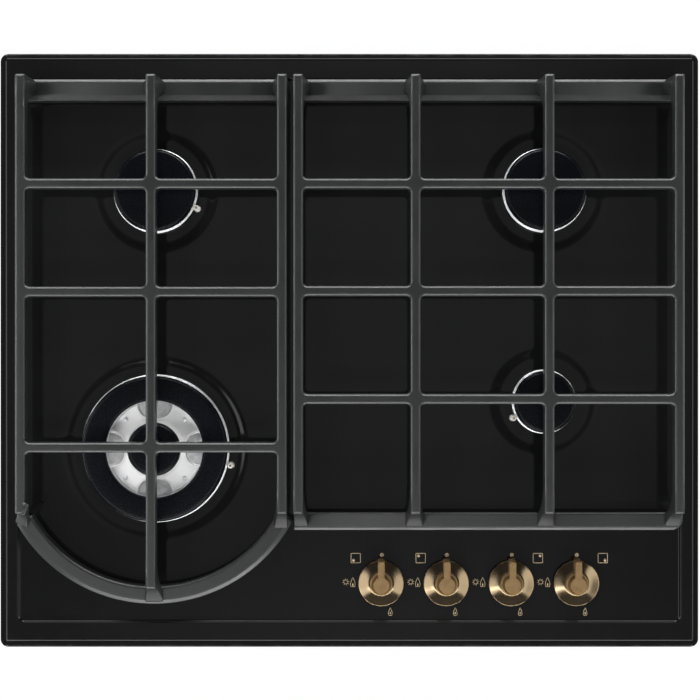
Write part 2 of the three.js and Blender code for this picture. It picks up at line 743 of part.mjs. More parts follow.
// Threaded inlet through the tray's rear wall, with a hexagon inside it.
function gasInlet() {
  const hexagon = spoke(13, 190 + GAP, 204, 0, 90, TURN.bolt);
  const thread = spoke(INLET_R, 202, 237, 0, 90, TURN.small);
  const bore = spoke(7, 222, 238, 0, 90, TURN.tiny);
  return cut(join(hexagon, thread), bore);
}

// Supply pipes by burner: the points between the tap's outlet and the cup's gas boss.
const PIPE_ROUTES = {
  front_left: [[26, -155], [-20, -112], [-80, -84]],
  rear_left: [[84, -140], [58, -50], [-15, 70], [-90, 136.4]],
  rear_right: [[139, -140], [112, -60], [92, 40], [110, 132]],
  front_right: [[194, -140], [172, -110], [166.5, -85]],
};

function supplyPipe(place, tapX) {
  const burner = BURNERS[place];
  const angle = THREE.MathUtils.degToRad(burner.inlet);
  const reach = spigotRadius(burner) + GAP + 4.5 + 8 + GAP;
  const lead = reach + 10;
  const at = (distance) => [
    burner.x + distance * Math.cos(angle),
    burner.y + distance * Math.sin(angle),
    DISH_Z + GAS_BOSS_Z,
  ];
  const outlet = KNOB_Y + TAP_R + 10 + GAP;
  const middle = PIPE_ROUTES[place].map(([x, y]) => [x, y, GAS_Z - 1]);
  const points = [[tapX, outlet, GAS_Z], [tapX, outlet + 10, GAS_Z], ...middle, at(lead), at(reach)];
  return tube(points, PIPE_R, TURN.bolt, 10);
}

function ignitionModule() {
  const box = block(-10, 60, 172, 214, TRAY_SHEET + GAP, 24);
  const ears = block(-20, 70, 188, 198, TRAY_SHEET + GAP, 4);
  const posts = [0, 1, 2, 3].map((i) => rod(3, 23, 30, TURN.bolt, 2 + i * 15, 184));
  return join(box, ears, ...posts);
}

// Gland for the mains cord in the tray's rear wall.
function cableGland() {
  const rear = TRAY_DEPTH / 2;
  const body = spoke(GLAND_R, rear - 5, rear + 1, 0, 90, TURN.small);
  const head = spoke(8.5, rear + GAP, rear + 5, 0, 90, TURN.small);
  const nut = spoke(8.5, rear - 6, rear - TRAY_SHEET - GAP, 0, 90, TURN.bolt);
  return cut(join(body, head, nut), spoke(3.4, rear - 8, rear + 8, 0, 90, TURN.tiny));
}

addPiece(hob, "tap_rail", tapRail(), "steel");
addPiece(hob, "gas_manifold", manifold(), "steel");
addPiece(hob, "gas_inlet", gasInlet(), "brass").position.set(INLET_X, 0, MANIFOLD_Z);
KNOBS.forEach((place, i) => addPiece(hob, `${place}_supply_pipe`, supplyPipe(place, knobX(i)), "aluminium"));
addPiece(hob, "ignition_module", ignitionModule(), "plastic");
addPiece(hob, "cable_gland", cableGland(), "plastic").position.set(GLAND_X, 0, GLAND_Z);

// ---------------------------------------------------------------- pan supports

// A grid bar from one point to another, with chamfered top edges. share narrows a side rail.
function bar(x0, y0, x1, y1, share = 1) {
  const length = Math.hypot(x1 - x0, y1 - y0);
  const section = outline([
    [-BAR_HALF * share, -BAR_H],
    [BAR_HALF * share, -BAR_H],
    [BAR_SHOULDER_HALF * share, -BAR_SHOULDER],
    [BAR_TOP_HALF * share, 0],
    [-BAR_TOP_HALF * share, 0],
    [-BAR_SHOULDER_HALF * share, -BAR_SHOULDER],
  ]);
  const along = slab(section, 0, length).rotateX(Math.PI / 2).rotateZ(Math.PI / 2);
  return along.rotateZ(Math.atan2(y1 - y0, x1 - x0)).translate(x0, y0, GRID_TOP);
}

// Small web in the corner between two crossing bars.
function cornerWeb(x, y, sx, sy) {
  const near = BAR_HALF - 1;
  const far = BAR_HALF + FILLET;
  const points = [[near, near], [far, near], [near, far]].map(([dx, dy]) => [x + sx * dx, y + sy * dy]);
  if (sx * sy < 0) points.reverse();
  return slab(outline(points), GRID_TOP - BAR_H, GRID_TOP - BAR_SHOULDER);
}

// The webs where cross-bars meet the bars: on both sides of inner bars, on one side of the rails.
function crossingWebs({ bars, crossings }) {
  return bars.flatMap((x, i) => {
    const sides = [-1, 1].filter((sx) => (sx < 0 ? i > 0 : i < bars.length - 1));
    return crossings.flatMap((y) => sides.flatMap((sx) => [-1, 1].map((sy) => cornerWeb(x, y, sx, sy))));
  });
}

// A leg under a bar, seen from the front and spread in Y from 0 to -depth. Beside a low member a side
// ends in a flare; else its foot stands a slant outside its top.
function leg(x, depth, left, right) {
  const topLeft = x - BAR_SHOULDER_HALF;
  const topRight = x + BAR_SHOULDER_HALF;
  const footLeft = topLeft - (left.flare ?? left.slant);
  const footRight = topRight + (right.flare ?? right.slant);
  const shape = new THREE.Shape();
  shape.moveTo(footLeft, LEG_ROOT_Z);
  shape.lineTo(footRight, LEG_ROOT_Z);
  if (right.flare) shape.absarc(footRight, LOW_TOP + right.flare, right.flare, -Math.PI / 2, -Math.PI, true);
  else shape.lineTo(footRight, LOW_TOP);
  shape.lineTo(topRight, GRID_TOP);
  shape.lineTo(topLeft, GRID_TOP);
  if (left.flare) shape.absarc(footLeft, LOW_TOP + left.flare, left.flare, 0, -Math.PI / 2, true);
  else shape.lineTo(footLeft, LOW_TOP);
  return slab(shape, 0, depth, 2).rotateX(Math.PI / 2);
}

// A row of legs between two ends, one under each bar.
function legRow(bars, x0, x1, depth, flare) {
  return bars.map((x, i) => {
    const left = i === 0 ? { slant: x - BAR_SHOULDER_HALF - x0 } : { flare };
    const right = i === bars.length - 1 ? { slant: x1 - x - BAR_SHOULDER_HALF } : { flare };
    return leg(x, depth, left, right);
  });
}

// A low member along X with bevelled top edges, spread in Y from 0 to -depth.
function lowMember(x0, x1, depth, bevel) {
  const profile = [
    [0, LOW_BOTTOM],
    [0, LOW_TOP - LOW_BEVEL_H],
    [-bevel, LOW_TOP],
    [bevel - depth, LOW_TOP],
    [-depth, LOW_TOP - LOW_BEVEL_H],
    [-depth, LOW_BOTTOM],
  ];
  return slice(profile, x0, x1);
}

// Leans a piece about the height z: what is above moves towards +Y, what is below towards -Y.
function lean(geometry, slope, z) {
  const shear = new THREE.Matrix4().set(1, 0, 0, 0, 0, 1, slope, 0, 0, 0, 1, 0, 0, 0, 0, 1);
  return geometry.translate(0, 0, -z).applyMatrix4(shear).translate(0, 0, z);
}

// Curved web under a bar where it meets a leg; direction is +1 when the bar runs to the rear of the leg.
function haunch(x, y, direction) {
  const under = GRID_TOP - BAR_H;
  const size = HAUNCH_SIZE;
  const points = [[y - direction * 3, under + 1], [y - direction * 3, under - size]];
  for (let i = 0; i <= HAUNCH_STEPS; i += 1) {
    const a = (i / HAUNCH_STEPS) * (Math.PI / 2);
    points.push([y + direction * size * (1 - Math.cos(a)), under - size * (1 - Math.sin(a))]);
  }
  points.push([y + direction * size, under + 1]);
  if (direction < 0) points.reverse();
  return slice(points, x - 3.4, x + 3.4);
}

// Blind holes for the stems of the rubber feet.
function footHoles(feet) {
  const top = LOW_BOTTOM + FOOT_STEM_H;
  return feet.map(([x, y]) => rod(FOOT_STEM_R + GAP, LOW_BOTTOM - OVER, top, TURN.tiny, x, y));
}

// The low front member of the left support follows the triple crown in an arc.
function arcMember(fromAngle, toAngle) {
  const steps = 20;
  const path = Array.from({ length: steps + 1 }, (_, i) => {
    const a = THREE.MathUtils.degToRad(fromAngle + ((toAngle - fromAngle) * i) / steps);
    return new THREE.Vector3(ARC.x + ARC.radius * Math.cos(a), ARC.y + ARC.radius * Math.sin(a), LOW_TOP);
  });
  // The section's first coordinate is the depth below the top, its second the distance across.
  const height = LOW_TOP - LOW_BOTTOM;
  const section = outline([
    [0, -LOW_TOP_HALF],
    [2, -LOW_SHOULDER_HALF],
    [height, -LOW_HALF],
    [height, LOW_HALF],
    [2, LOW_SHOULDER_HALF],
    [0, LOW_TOP_HALF],
  ]);
  const extrudePath = new THREE.CatmullRomCurve3(path);
  const member = new THREE.ExtrudeGeometry(section, { steps, extrudePath, bevelEnabled: false });
  // Trimmed flush with the rails, and behind the front legs.
  const right = LEFT_GRID.bars.at(-1) + BAR_SHOULDER_HALF;
  const reach = 2 * ARC.radius;
  const rightTrim = block(right, right + reach, -reach, reach, 0, 2 * GRID_TOP);
  const leftTrim = block(LEFT_END - reach, LEFT_END, -reach, reach, 0, 2 * GRID_TOP);
  const rearTrim = block(-reach * 2, reach, FRONT_TOP_Y + 4, reach, 0, 2 * GRID_TOP);
  return cut(member, rightTrim, leftTrim, rearTrim);
}

// One leg where a bar of the left support comes down to the arc, turned to face outwards.
function arcLeg(x, topY, facing, left, right) {
  // The leg's front face lies at y = -depth: bring it to the leg's own top edge.
  const upright = leg(0, FRONT_DEPTH, left, right).translate(0, FRONT_DEPTH, 0);
  return lean(upright, ARC_LEAN, GRID_TOP).rotateZ(THREE.MathUtils.degToRad(facing)).translate(x, topY, 0);
}

// Trims the front right corner of the right support's low member and leg to a round.
function cornerTrim() {
  const x = RIGHT_END - FRONT_CORNER;
  const y = FRONT_TOP_Y + FRONT_CORNER;
  const reach = 2 * FRONT_CORNER;
  const corner = block(x, x + reach, y - reach, y, LOW_BOTTOM - OVER, GRID_TOP + OVER);
  const trim = cut(corner, rod(FRONT_CORNER, LOW_BOTTOM - 2 * OVER, GRID_TOP + 2 * OVER, TURN.medium, x, y));
  return lean(trim, FRONT_LEAN, GRID_TOP);
}

const LEFT_FEET = [[-275, 221], [-59, 221], [-270.5, -152], [-60, -146]];
const RIGHT_FEET = [[-39.5, 221], [275.5, 221], [-39.5, -147.7], [272, -147.7]];

function leftSupport() {
  const { bars, crossings } = LEFT_GRID;
  const [leftRail, middle, rightRail] = bars;
  const rightEnd = rightRail + BAR_SHOULDER_HALF;
  const rear = [
    lowMember(LEFT_END, rightEnd, REAR_DEPTH, REAR_BEVEL),
    ...legRow(bars, LEFT_END, rightEnd, REAR_LEG_DEPTH, REAR_FLARE),
  ];
  const longBars = [
    bar(leftRail, FRONT_TOP_Y + 4, leftRail, REAR_Y - 2, RAIL_SHARE),
    bar(middle, ARC_LEG_Y + 4, middle, REAR_Y - 2),
    bar(rightRail, FRONT_TOP_Y + 4, rightRail, REAR_Y - 2, RAIL_SHARE),
  ];
  const legs = [
    arcLeg(leftRail, FRONT_TOP_Y, LEFT_LEG_FACING, { slant: 0 }, { flare: FRONT_FLARE }),
    arcLeg(middle, ARC_LEG_Y, 0, { flare: FRONT_FLARE }, { flare: FRONT_FLARE }),
    arcLeg(rightRail, FRONT_TOP_Y, 0, { flare: FRONT_FLARE }, { slant: 0 }),
  ];
  const haunches = bars.flatMap((x) => {
    const frontY = x === middle ? ARC_LEG_Y : FRONT_TOP_Y;
    return [haunch(x, REAR_Y - REAR_LEG_DEPTH, -1), haunch(x, frontY + 5, 1)];
  });
  const casting = join(
    ...rear.map((piece) => piece.translate(0, REAR_Y, 0)),
    arcMember(-154, -24),
    ...longBars,
    ...crossings.map((y) => bar(leftRail, y, rightRail, y)),
    ...legs,
    ...crossingWebs(LEFT_GRID),
    ...haunches,
  );
  return cut(casting, ...footHoles(LEFT_FEET));
}

function rightSupport() {
  const { bars, crossings } = RIGHT_GRID;
  const left = bars[0] - BAR_SHOULDER_HALF;
  const rear = [
    lowMember(left, RIGHT_END, REAR_DEPTH, REAR_BEVEL),
    ...legRow(bars, left, RIGHT_END, REAR_LEG_DEPTH, REAR_FLARE),
  ];
  // The front member's top edge meets the legs' front faces where they come down to it.
  const memberFront = FRONT_TOP_Y - FRONT_LEAN * (GRID_TOP - LOW_TOP);
  const member = lowMember(left, RIGHT_END, FRONT_DEPTH, FRONT_BEVEL);
  const front = lean(member.translate(0, memberFront + FRONT_DEPTH, 0), FRONT_MEMBER_LEAN, LOW_TOP);
  const frontLegs = legRow(bars, left, RIGHT_END, FRONT_DEPTH, FRONT_FLARE).map((piece) =>
    lean(piece.translate(0, FRONT_TOP_Y + FRONT_DEPTH, 0), FRONT_LEAN, GRID_TOP),
  );
  const longBars = bars.map((x, i) => {
    const share = i === 0 || i === bars.length - 1 ? RAIL_SHARE : 1;
    return bar(x, FRONT_TOP_Y + 4, x, REAR_Y - 2, share);
  });
  const haunches = bars.flatMap((x) => [
    haunch(x, REAR_Y - REAR_LEG_DEPTH, -1),
    haunch(x, FRONT_TOP_Y + 5, 1),
  ]);
  const casting = join(
    ...rear.map((piece) => piece.translate(0, REAR_Y, 0)),
    front,
    ...frontLegs,
    ...longBars,
    ...crossings.map((y) => bar(bars[0], y, bars.at(-1), y)),
    ...crossingWebs(RIGHT_GRID),
    ...haunches,
  );
  return cut(casting, cornerTrim(), ...footHoles(RIGHT_FEET));
}

function supportFoot() {
  return turned([
    [0, GAP],
    [FOOT_R - 0.8, GAP],
    [FOOT_R, LOW_BOTTOM - RECESS_Z - GAP],
    [FOOT_STEM_R, LOW_BOTTOM - RECESS_Z - GAP],
    [FOOT_STEM_R, LOW_BOTTOM - RECESS_Z + FOOT_STEM_H - GAP],
    [0, LOW_BOTTOM - RECESS_Z + FOOT_STEM_H - GAP],
  ], TURN.tiny);
}

addPiece(hob, "left_pan_support", leftSupport(), "cast_iron");
addPiece(hob, "right_pan_support", rightSupport(), "cast_iron");
Object.entries({ left: LEFT_FEET, right: RIGHT_FEET }).forEach(([side, feet]) => {
  const corners = ["rear_left", "rear_right", "front_left", "front_right"];
  feet.forEach(([x, y], i) => {
    addPiece(groupAt(x, y, RECESS_Z), `${side}_support_foot_${corners[i]}`, supportFoot(), "rubber");
  });
});

export default hob;
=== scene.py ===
# %% [markdown]
# # A built-in gas cooktop
# The solids of every piece already exist, in metres, and arrive as a fixed frame. This lesson dresses
# them: each visible piece gets the soft edges, the small parts and the surface that the real one has.
# The first step loads the frame.

# %% Load the frame
import math
import bmesh
import bpy
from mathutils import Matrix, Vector


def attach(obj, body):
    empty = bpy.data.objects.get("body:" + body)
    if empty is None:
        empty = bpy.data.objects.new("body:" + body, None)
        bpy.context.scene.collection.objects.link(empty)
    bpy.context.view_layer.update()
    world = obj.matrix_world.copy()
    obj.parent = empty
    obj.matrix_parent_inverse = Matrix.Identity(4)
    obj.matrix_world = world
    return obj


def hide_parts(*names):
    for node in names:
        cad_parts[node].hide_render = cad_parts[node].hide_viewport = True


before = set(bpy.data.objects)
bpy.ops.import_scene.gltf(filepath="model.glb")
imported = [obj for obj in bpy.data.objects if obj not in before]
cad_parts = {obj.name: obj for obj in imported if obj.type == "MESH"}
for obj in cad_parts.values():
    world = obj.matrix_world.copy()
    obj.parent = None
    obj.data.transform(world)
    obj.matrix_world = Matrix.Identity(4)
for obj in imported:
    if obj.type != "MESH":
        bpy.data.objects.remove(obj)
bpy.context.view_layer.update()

# %% [markdown]
# ## The heights that all pieces share
# A maker measures a hob from the worktop. The plate stands 6 mm above it, its recess is pressed 1.6 mm
# deep, and each burner sits in a round dish that is 1.4 mm deeper still. All values are millimetres,
# and a burner's spark rod is given by its distance from the burner's axis and its angle in degrees.

# %% Shared sizes
MM = 0.001
PLATE_WIDTH, PLATE_DEPTH = 600, 510
RECESS_WIDTH, RECESS_DEPTH, RECESS_MIDDLE = 571, 468.4, -0.2
WORKTOP = 44.0
DECK = 50.0
RECESS = 48.4
DISH = 47.0
PLACES = ["front_left", "rear_left", "rear_right", "front_right"]
BURNERS = {
    "front_left": dict(x=-165.9, y=-84.0, radius=63.4, dish=76.2, spark=(65.8, -12.8)),
    "rear_left": dict(x=-165.8, y=136.4, radius=36.1, dish=52.4, spark=(38.1, -22.7)),
    "rear_right": dict(x=167.0, y=137.0, radius=36.1, dish=52.4, spark=(38.1, 173.5)),
    "front_right": dict(x=166.5, y=-43.9, radius=27.5, dish=45.5, spark=(29.6, 208.5)),
}
KNOB_PITCH = 55.8
KNOB_X = [27.2 + KNOB_PITCH * i for i in range(len(PLACES))]
KNOB_Y = -199.6


def spark_place(burner):
    """Where a burner's spark rod stands."""
    reach, angle = burner["spark"]
    turn = math.radians(angle)
    return burner["x"] + reach * math.cos(turn), burner["y"] + reach * math.sin(turn)


print("recess floor", RECESS, "mm, dish floor", DISH, "mm, knobs at", KNOB_X)

# %% [markdown]
# ## The camera
# The photograph looks straight down on the middle of the hob. Its width fills the frame, so the lens
# only has to take in 600.9 mm at the height of the plate from 1.45 m above it. The camera stands half
# a millimetre off the middle, as in the photograph.

# %% Camera
view_height = 1450.0
view_width = 600.9
view_middle = (0.56, 0.3)
lens = bpy.data.cameras.new("overhead")
lens.sensor_fit = "HORIZONTAL"
lens.angle = 2 * math.atan(view_width / 2 / view_height)
camera = bpy.data.objects.new("overhead", lens)
camera.location = (view_middle[0] * MM, view_middle[1] * MM, (DECK + view_height) * MM)
bpy.context.scene.collection.objects.link(camera)
bpy.context.scene.camera = camera
print("lens angle", round(math.degrees(lens.angle), 2), "degrees")

# %% [markdown]
# ## Small tools for meshes
# Burner parts and knob skirts are made on a lathe. A lathe's work can be drawn as a profile with a
# screw modifier, but a mesh built from points has the right faces at once, and it can carry a layout
# that follows the tool's path. All points are given in millimetres, and the scene holds metres.

# %% Turned pieces
def put(name, mesh):
    """A new object with this mesh, in the scene."""
    piece = bpy.data.objects.new(name, mesh)
    bpy.context.scene.collection.objects.link(piece)
    return piece


def mesh_of(name, points, faces):
    """A smooth mesh from points in millimetres."""
    mesh = bpy.data.meshes.new(name)
    mesh.from_pydata([(x * MM, y * MM, z * MM) for x, y, z in points], [], faces)
    mesh.shade_smooth()
    return mesh


def circle(x, y, radius, steps=96):
    """Points round a circle, anticlockwise."""
    turns = [2 * math.pi * i / steps for i in range(steps)]
    return [(x + radius * math.cos(a), y + radius * math.sin(a)) for a in turns]


ON_AXIS = 1e-7
LAYOUT_REACH = 0.1


def lay_out_turned(mesh, place):
    """Lays a turned mesh out as (share of a turn, radius in tenths of a metre), for rings and tangents."""
    layout = mesh.uv_layers.new(name="turned").data
    centre = Vector((place[0], place[1])) * MM
    for face in mesh.polygons:
        spokes = [mesh.vertices[mesh.loops[loop].vertex_index].co.xy - centre for loop in face.loop_indices]
        angles = [math.atan2(s.y, s.x) / (2 * math.pi) if s.length > ON_AXIS else None for s in spokes]
        known = [a for a in angles if a is not None]
        over_seam = max(known) - min(known) > 0.5
        for loop, spoke, angle in zip(face.loop_indices, spokes, angles):
            angle = sum(known) / len(known) if angle is None else angle
            if over_seam and angle < 0:
                angle += 1
            layout[loop].uv = (angle, spoke.length / LAYOUT_REACH)


def turn(name, profile, place, steps=128):
    """A turned piece from a profile of (radius, height), from axis to axis or closing on itself."""
    points, rings, faces = [], [], []
    for radius, height in profile:
        if radius == 0:
            rings.append([len(points)] * steps)
            points.append((0, 0, height))
        else:
            rings.append(list(range(len(points), len(points) + steps)))
            points += [(x, y, height) for x, y in circle(0, 0, radius, steps)]
    closed = profile[0][0] != 0
    for low, high in zip(rings, rings[1:] + ([rings[0]] if closed else [])):
        for i in range(steps):
            j = (i + 1) % steps
            corner = [low[i], low[j], high[j], high[i]]
            faces.append([c for k, c in enumerate(corner) if c != corner[k - 1]])
    mesh = mesh_of(name, [(x + place[0], y + place[1], z + place[2]) for x, y, z in points], faces)
    lay_out_turned(mesh, place)
    return put(name, mesh)


print("helpers ready: put, mesh_of, circle, turn")

# %% [markdown]
# Real edges are never quite sharp, so a bevel modifier rounds those that are left. A piece that has two
# metals on it is built in parts, each with its own finish. They are joined at the end, so that one
# object stands for one solid of the frame.

# %% Soft edges and whole pieces
def soften(piece, width, segments):
    """Rounds the sharp edges of a piece, as polishing leaves them."""
    edge = piece.modifiers.new("soft_edges", "BEVEL")
    edge.width = width * MM
    edge.segments = segments
    edge.limit_method = "ANGLE"
    edge.angle_limit = math.radians(28)
    edge.harden_normals = True
    edge.use_clamp_overlap = True


def faces_out(piece):
    """Turns every face of a closed piece outwards."""
    sheet = bmesh.new()
    sheet.from_mesh(piece.data)
    bmesh.ops.remove_doubles(sheet, verts=sheet.verts, dist=1e-6)
    bmesh.ops.recalc_face_normals(sheet, faces=sheet.faces)
    sheet.to_mesh(piece.data)
    sheet.free()
    piece.data.shade_smooth()
    return piece


def one_piece(name, parts):
    """Joins finished parts, each with its own material, into one object."""
    reached = bpy.context.evaluated_depsgraph_get()
    whole = bmesh.new()
    joined = bpy.data.meshes.new(name)
    for part in parts:
        made = bpy.data.meshes.new_from_object(part.evaluated_get(reached))
        coat = part.data.materials[0]
        if coat.name not in joined.materials:
            joined.materials.append(coat)
        coat_index = list(joined.materials).index(coat)
        before = len(whole.faces)
        whole.from_mesh(made)
        whole.faces.ensure_lookup_table()
        for face in whole.faces[before:]:
            face.material_index = coat_index
        bpy.data.meshes.remove(made)
    whole.to_mesh(joined)
    whole.free()
    for part in parts:
        bpy.data.objects.remove(part)
    return put(name, joined)


print("helpers ready: soften, faces_out, one_piece")

# %% [markdown]
# ## Finishes
# Every surface is a mix of a plain shader and two or three patterns at the real scale: the grain of
# a casting, the fine ripple of fired enamel, the rings that a lathe leaves. Patterns change roughness
# and the bump, and colour a little, so that no surface is one flat tone.

# %% Patterns
def finish(name, colour, roughness, metallic=0.0, shine=0.5):
    """A material with one shader. Returns it with its node tree and its shader."""
    material = bpy.data.materials.new(name)
    material.use_nodes = True
    shader = material.node_tree.nodes["Principled BSDF"]
    shader.inputs["Base Color"].default_value = (*colour, 1)
    shader.inputs["Roughness"].default_value = roughness
    shader.inputs["Metallic"].default_value = metallic
    shader.inputs["Specular IOR Level"].default_value = shine
    material.diffuse_color = (*colour, 1)
    return material, material.node_tree, shader


def grain(tree, scale, detail=3.0, stretch=(1, 1, 1)):
    """A noise pattern on the piece's own coordinates. scale is in spots per metre."""
    place = tree.nodes.new("ShaderNodeTexCoord")
    mapping = tree.nodes.new("ShaderNodeMapping")
    mapping.inputs["Scale"].default_value = stretch
    spots = tree.nodes.new("ShaderNodeTexNoise")
    spots.inputs["Scale"].default_value = scale
    spots.inputs["Detail"].default_value = detail
    tree.links.new(place.outputs["Object"], mapping.inputs["Vector"])
    tree.links.new(mapping.outputs["Vector"], spots.inputs["Vector"])
    return spots.outputs["Fac"]


def spread(tree, value, low, high, start=0.3, end=0.7):
    """Stretches a pattern to run between two numbers."""
    band = tree.nodes.new("ShaderNodeMapRange")
    band.inputs["From Min"].default_value = start
    band.inputs["From Max"].default_value = end
    band.inputs["To Min"].default_value = low
    band.inputs["To Max"].default_value = high
    tree.links.new(value, band.inputs["Value"])
    return band.outputs["Result"]


def tones(tree, value, dark, light, start=0.3, end=0.7):
    """Two colours mixed by a pattern."""
    ramp = tree.nodes.new("ShaderNodeValToRGB")
    ramp.color_ramp.elements[0].position = start
    ramp.color_ramp.elements[0].color = (*dark, 1)
    ramp.color_ramp.elements[1].position = end
    ramp.color_ramp.elements[1].color = (*light, 1)
    tree.links.new(value, ramp.inputs["Fac"])
    return ramp.outputs["Color"]


print("patterns ready: grain, spread, tones")

# %% [markdown]
# A pattern shows only where it drives something. Sand in a casting changes its gloss, its tone and its
# relief in the same places, so one call lets a pattern drive all three. Lathe rings need a pattern of
# their own, which changes with the distance from the axis and hardly at all along the way round.

# %% What patterns drive
def relief(tree, shader, value, height, strength):
    """Bump from a pattern, height in millimetres."""
    bump = tree.nodes.new("ShaderNodeBump")
    bump.inputs["Strength"].default_value = strength
    bump.inputs["Distance"].default_value = height * MM
    tree.links.new(value, bump.inputs["Height"])
    tree.links.new(bump.outputs["Normal"], shader.inputs["Normal"])


def vary(tree, shader, pattern, roughness=None, colours=None, bump=None):
    """Lets a pattern drive roughness (from, to), colours (dark, light) and bump (height, strength)."""
    if roughness:
        tree.links.new(spread(tree, pattern, *roughness), shader.inputs["Roughness"])
    if colours:
        tree.links.new(tones(tree, pattern, *colours), shader.inputs["Base Color"])
    if bump:
        relief(tree, shader, pattern, *bump)


def around_axis(tree, scale):
    """Fine rings round a piece's own axis: noise that only changes with the turned layout's radius."""
    layout = tree.nodes.new("ShaderNodeUVMap")
    layout.uv_map = "turned"
    mapping = tree.nodes.new("ShaderNodeMapping")
    mapping.inputs["Scale"].default_value = (0.6, scale, 1)
    spots = tree.nodes.new("ShaderNodeTexNoise")
    spots.inputs["Scale"].default_value = 1.0
    spots.inputs["Detail"].default_value = 2.0
    tree.links.new(layout.outputs["UV"], mapping.inputs["Vector"])
    tree.links.new(mapping.outputs["Vector"], spots.inputs["Vector"])
    return spots.outputs["Fac"]


print("finish helpers ready: relief, vary, around_axis")

# %% [markdown]
# ### Enamel, iron and rubber
# The plate is glossy black vitreous enamel: nearly flat, with a ripple so shallow that it only shows
# in reflections. The burner caps have a satin fired enamel. The pan supports are cast iron under a thin
# matt enamel, so the sand's grain still shows.

# %% Dark finishes
plate_enamel, tree, shader = finish("plate_enamel", (0.0052, 0.0053, 0.0055), 0.07, shine=0.3)
vary(tree, shader, grain(tree, 90, 2.0), (0.05, 0.1), bump=(0.01, 0.35))
vary(tree, shader, grain(tree, 12), colours=((0.0047, 0.0048, 0.005), (0.0058, 0.0059, 0.0061)))

cap_enamel, tree, shader = finish("cap_enamel", (0.0024, 0.0027, 0.0034), 0.26, shine=0.12)
speckle = grain(tree, 700, 4.0)
vary(tree, shader, speckle, (0.22, 0.32), ((0.002, 0.0023, 0.0038), (0.003, 0.0033, 0.0052)), (0.03, 0.5))

iron_enamel, tree, shader = finish("iron_enamel", (0.011, 0.0117, 0.0119), 0.38, shine=0.5)
sand = grain(tree, 650, 5.0)
vary(tree, shader, grain(tree, 35, 2.0), (0.33, 0.43))
vary(tree, shader, sand, None, ((0.0085, 0.0091, 0.0092), (0.0135, 0.0143, 0.0146)), (0.05, 0.4))

foot_rubber, tree, shader = finish("foot_rubber", (0.012, 0.012, 0.012), 0.75, shine=0.3)
crumb = grain(tree, 1200, 3.0)
vary(tree, shader, crumb, (0.65, 0.85), ((0.009, 0.009, 0.009), (0.017, 0.017, 0.017)), (0.05, 0.4))

seal_foam, tree, shader = finish("seal_foam", (0.022, 0.022, 0.023), 0.9, shine=0.2)
cells = grain(tree, 1500, 1.0)
vary(tree, shader, cells, None, ((0.012, 0.012, 0.012), (0.034, 0.034, 0.035)), (0.2, 0.8))

moulded_plastic, tree, shader = finish("moulded_plastic", (0.015, 0.016, 0.017), 0.5)
spark_texture = grain(tree, 1800, 2.0)
vary(tree, shader, spark_texture, (0.42, 0.6), ((0.012, 0.013, 0.014), (0.019, 0.02, 0.021)), (0.04, 0.5))
print("dark finishes ready,", len(bpy.data.materials), "materials")

# %% [markdown]
# ### Metals
# Burner crowns are die-cast aluminium with a fine grey grain. Surfaces that were faced on a lathe
# carry rings round the axis, which stretch every highlight across them: that is what gives the aged
# brass knobs their bright and dark fans. Their bosses and grips are the same brass, but blasted matt.

# %% Metal finishes
die_cast, tree, shader = finish("die_cast", (0.76, 0.77, 0.78), 0.36, 1.0)
skin = grain(tree, 500, 4.0)
vary(tree, shader, skin, (0.3, 0.44), ((0.7, 0.71, 0.72), (0.82, 0.83, 0.84)), (0.05, 0.4))

faced_aluminium, tree, shader = finish("faced_aluminium", (0.93, 0.93, 0.93), 0.5, 0.55)
rings = around_axis(tree, 900)
vary(tree, shader, rings, (0.46, 0.58), ((0.88, 0.88, 0.88), (0.97, 0.97, 0.97)), (0.02, 0.5))

# The ducts are cast with the crown, but their tones are set much darker than the cast ring's. That darker
# tone is painted shade for their hollows, laid over the real grain of the casting.
duct_metal, tree, shader = finish("duct_metal", (0.6, 0.6, 0.61), 0.4, 0.75)
flow = grain(tree, 260, 4.0, (1, 1, 3))
vary(tree, shader, flow, (0.32, 0.46), ((0.4, 0.4, 0.41), (0.58, 0.58, 0.59)), (0.03, 0.4))

brushed_brass, tree, shader = finish("brushed_brass", (0.23, 0.175, 0.108), 0.19, 1.0)
shader.inputs["Anisotropic"].default_value = 0.5
shader.inputs["Anisotropic Rotation"].default_value = 0.25
tangent = tree.nodes.new("ShaderNodeTangent")
tangent.direction_type = "UV_MAP"
tangent.uv_map = "turned"
tree.links.new(tangent.outputs["Tangent"], shader.inputs["Tangent"])
vary(tree, shader, around_axis(tree, 700), (0.155, 0.185), ((0.215, 0.16, 0.096), (0.255, 0.195, 0.12)))

matt_brass, tree, shader = finish("matt_brass", (0.24, 0.158, 0.078), 0.56, 1.0)
vary(tree, shader, grain(tree, 2500, 3.0), (0.5, 0.66), bump=(0.02, 0.5))
vary(tree, shader, grain(tree, 160, 3.0), colours=((0.21, 0.137, 0.066), (0.27, 0.18, 0.09)))

machined_brass, tree, shader = finish("machined_brass", (0.48, 0.3, 0.08), 0.3, 1.0)
cuts = grain(tree, 300, 3.0, (1, 1, 6))
vary(tree, shader, cuts, (0.22, 0.4), ((0.4, 0.24, 0.06), (0.54, 0.35, 0.1)), (0.03, 0.4))

zinc_sheet, tree, shader = finish("zinc_sheet", (0.42, 0.43, 0.44), 0.36, 1.0)
place = tree.nodes.new("ShaderNodeTexCoord")
spangle = tree.nodes.new("ShaderNodeTexVoronoi")
spangle.inputs["Scale"].default_value = 170
tree.links.new(place.outputs["Object"], spangle.inputs["Vector"])
vary(tree, shader, spangle.outputs["Color"], (0.34, 0.42, 0.0, 1.0),
     ((0.37, 0.38, 0.39), (0.46, 0.47, 0.48), 0.0, 1.0))
vary(tree, shader, grain(tree, 400, 3.0), bump=(0.02, 0.3))

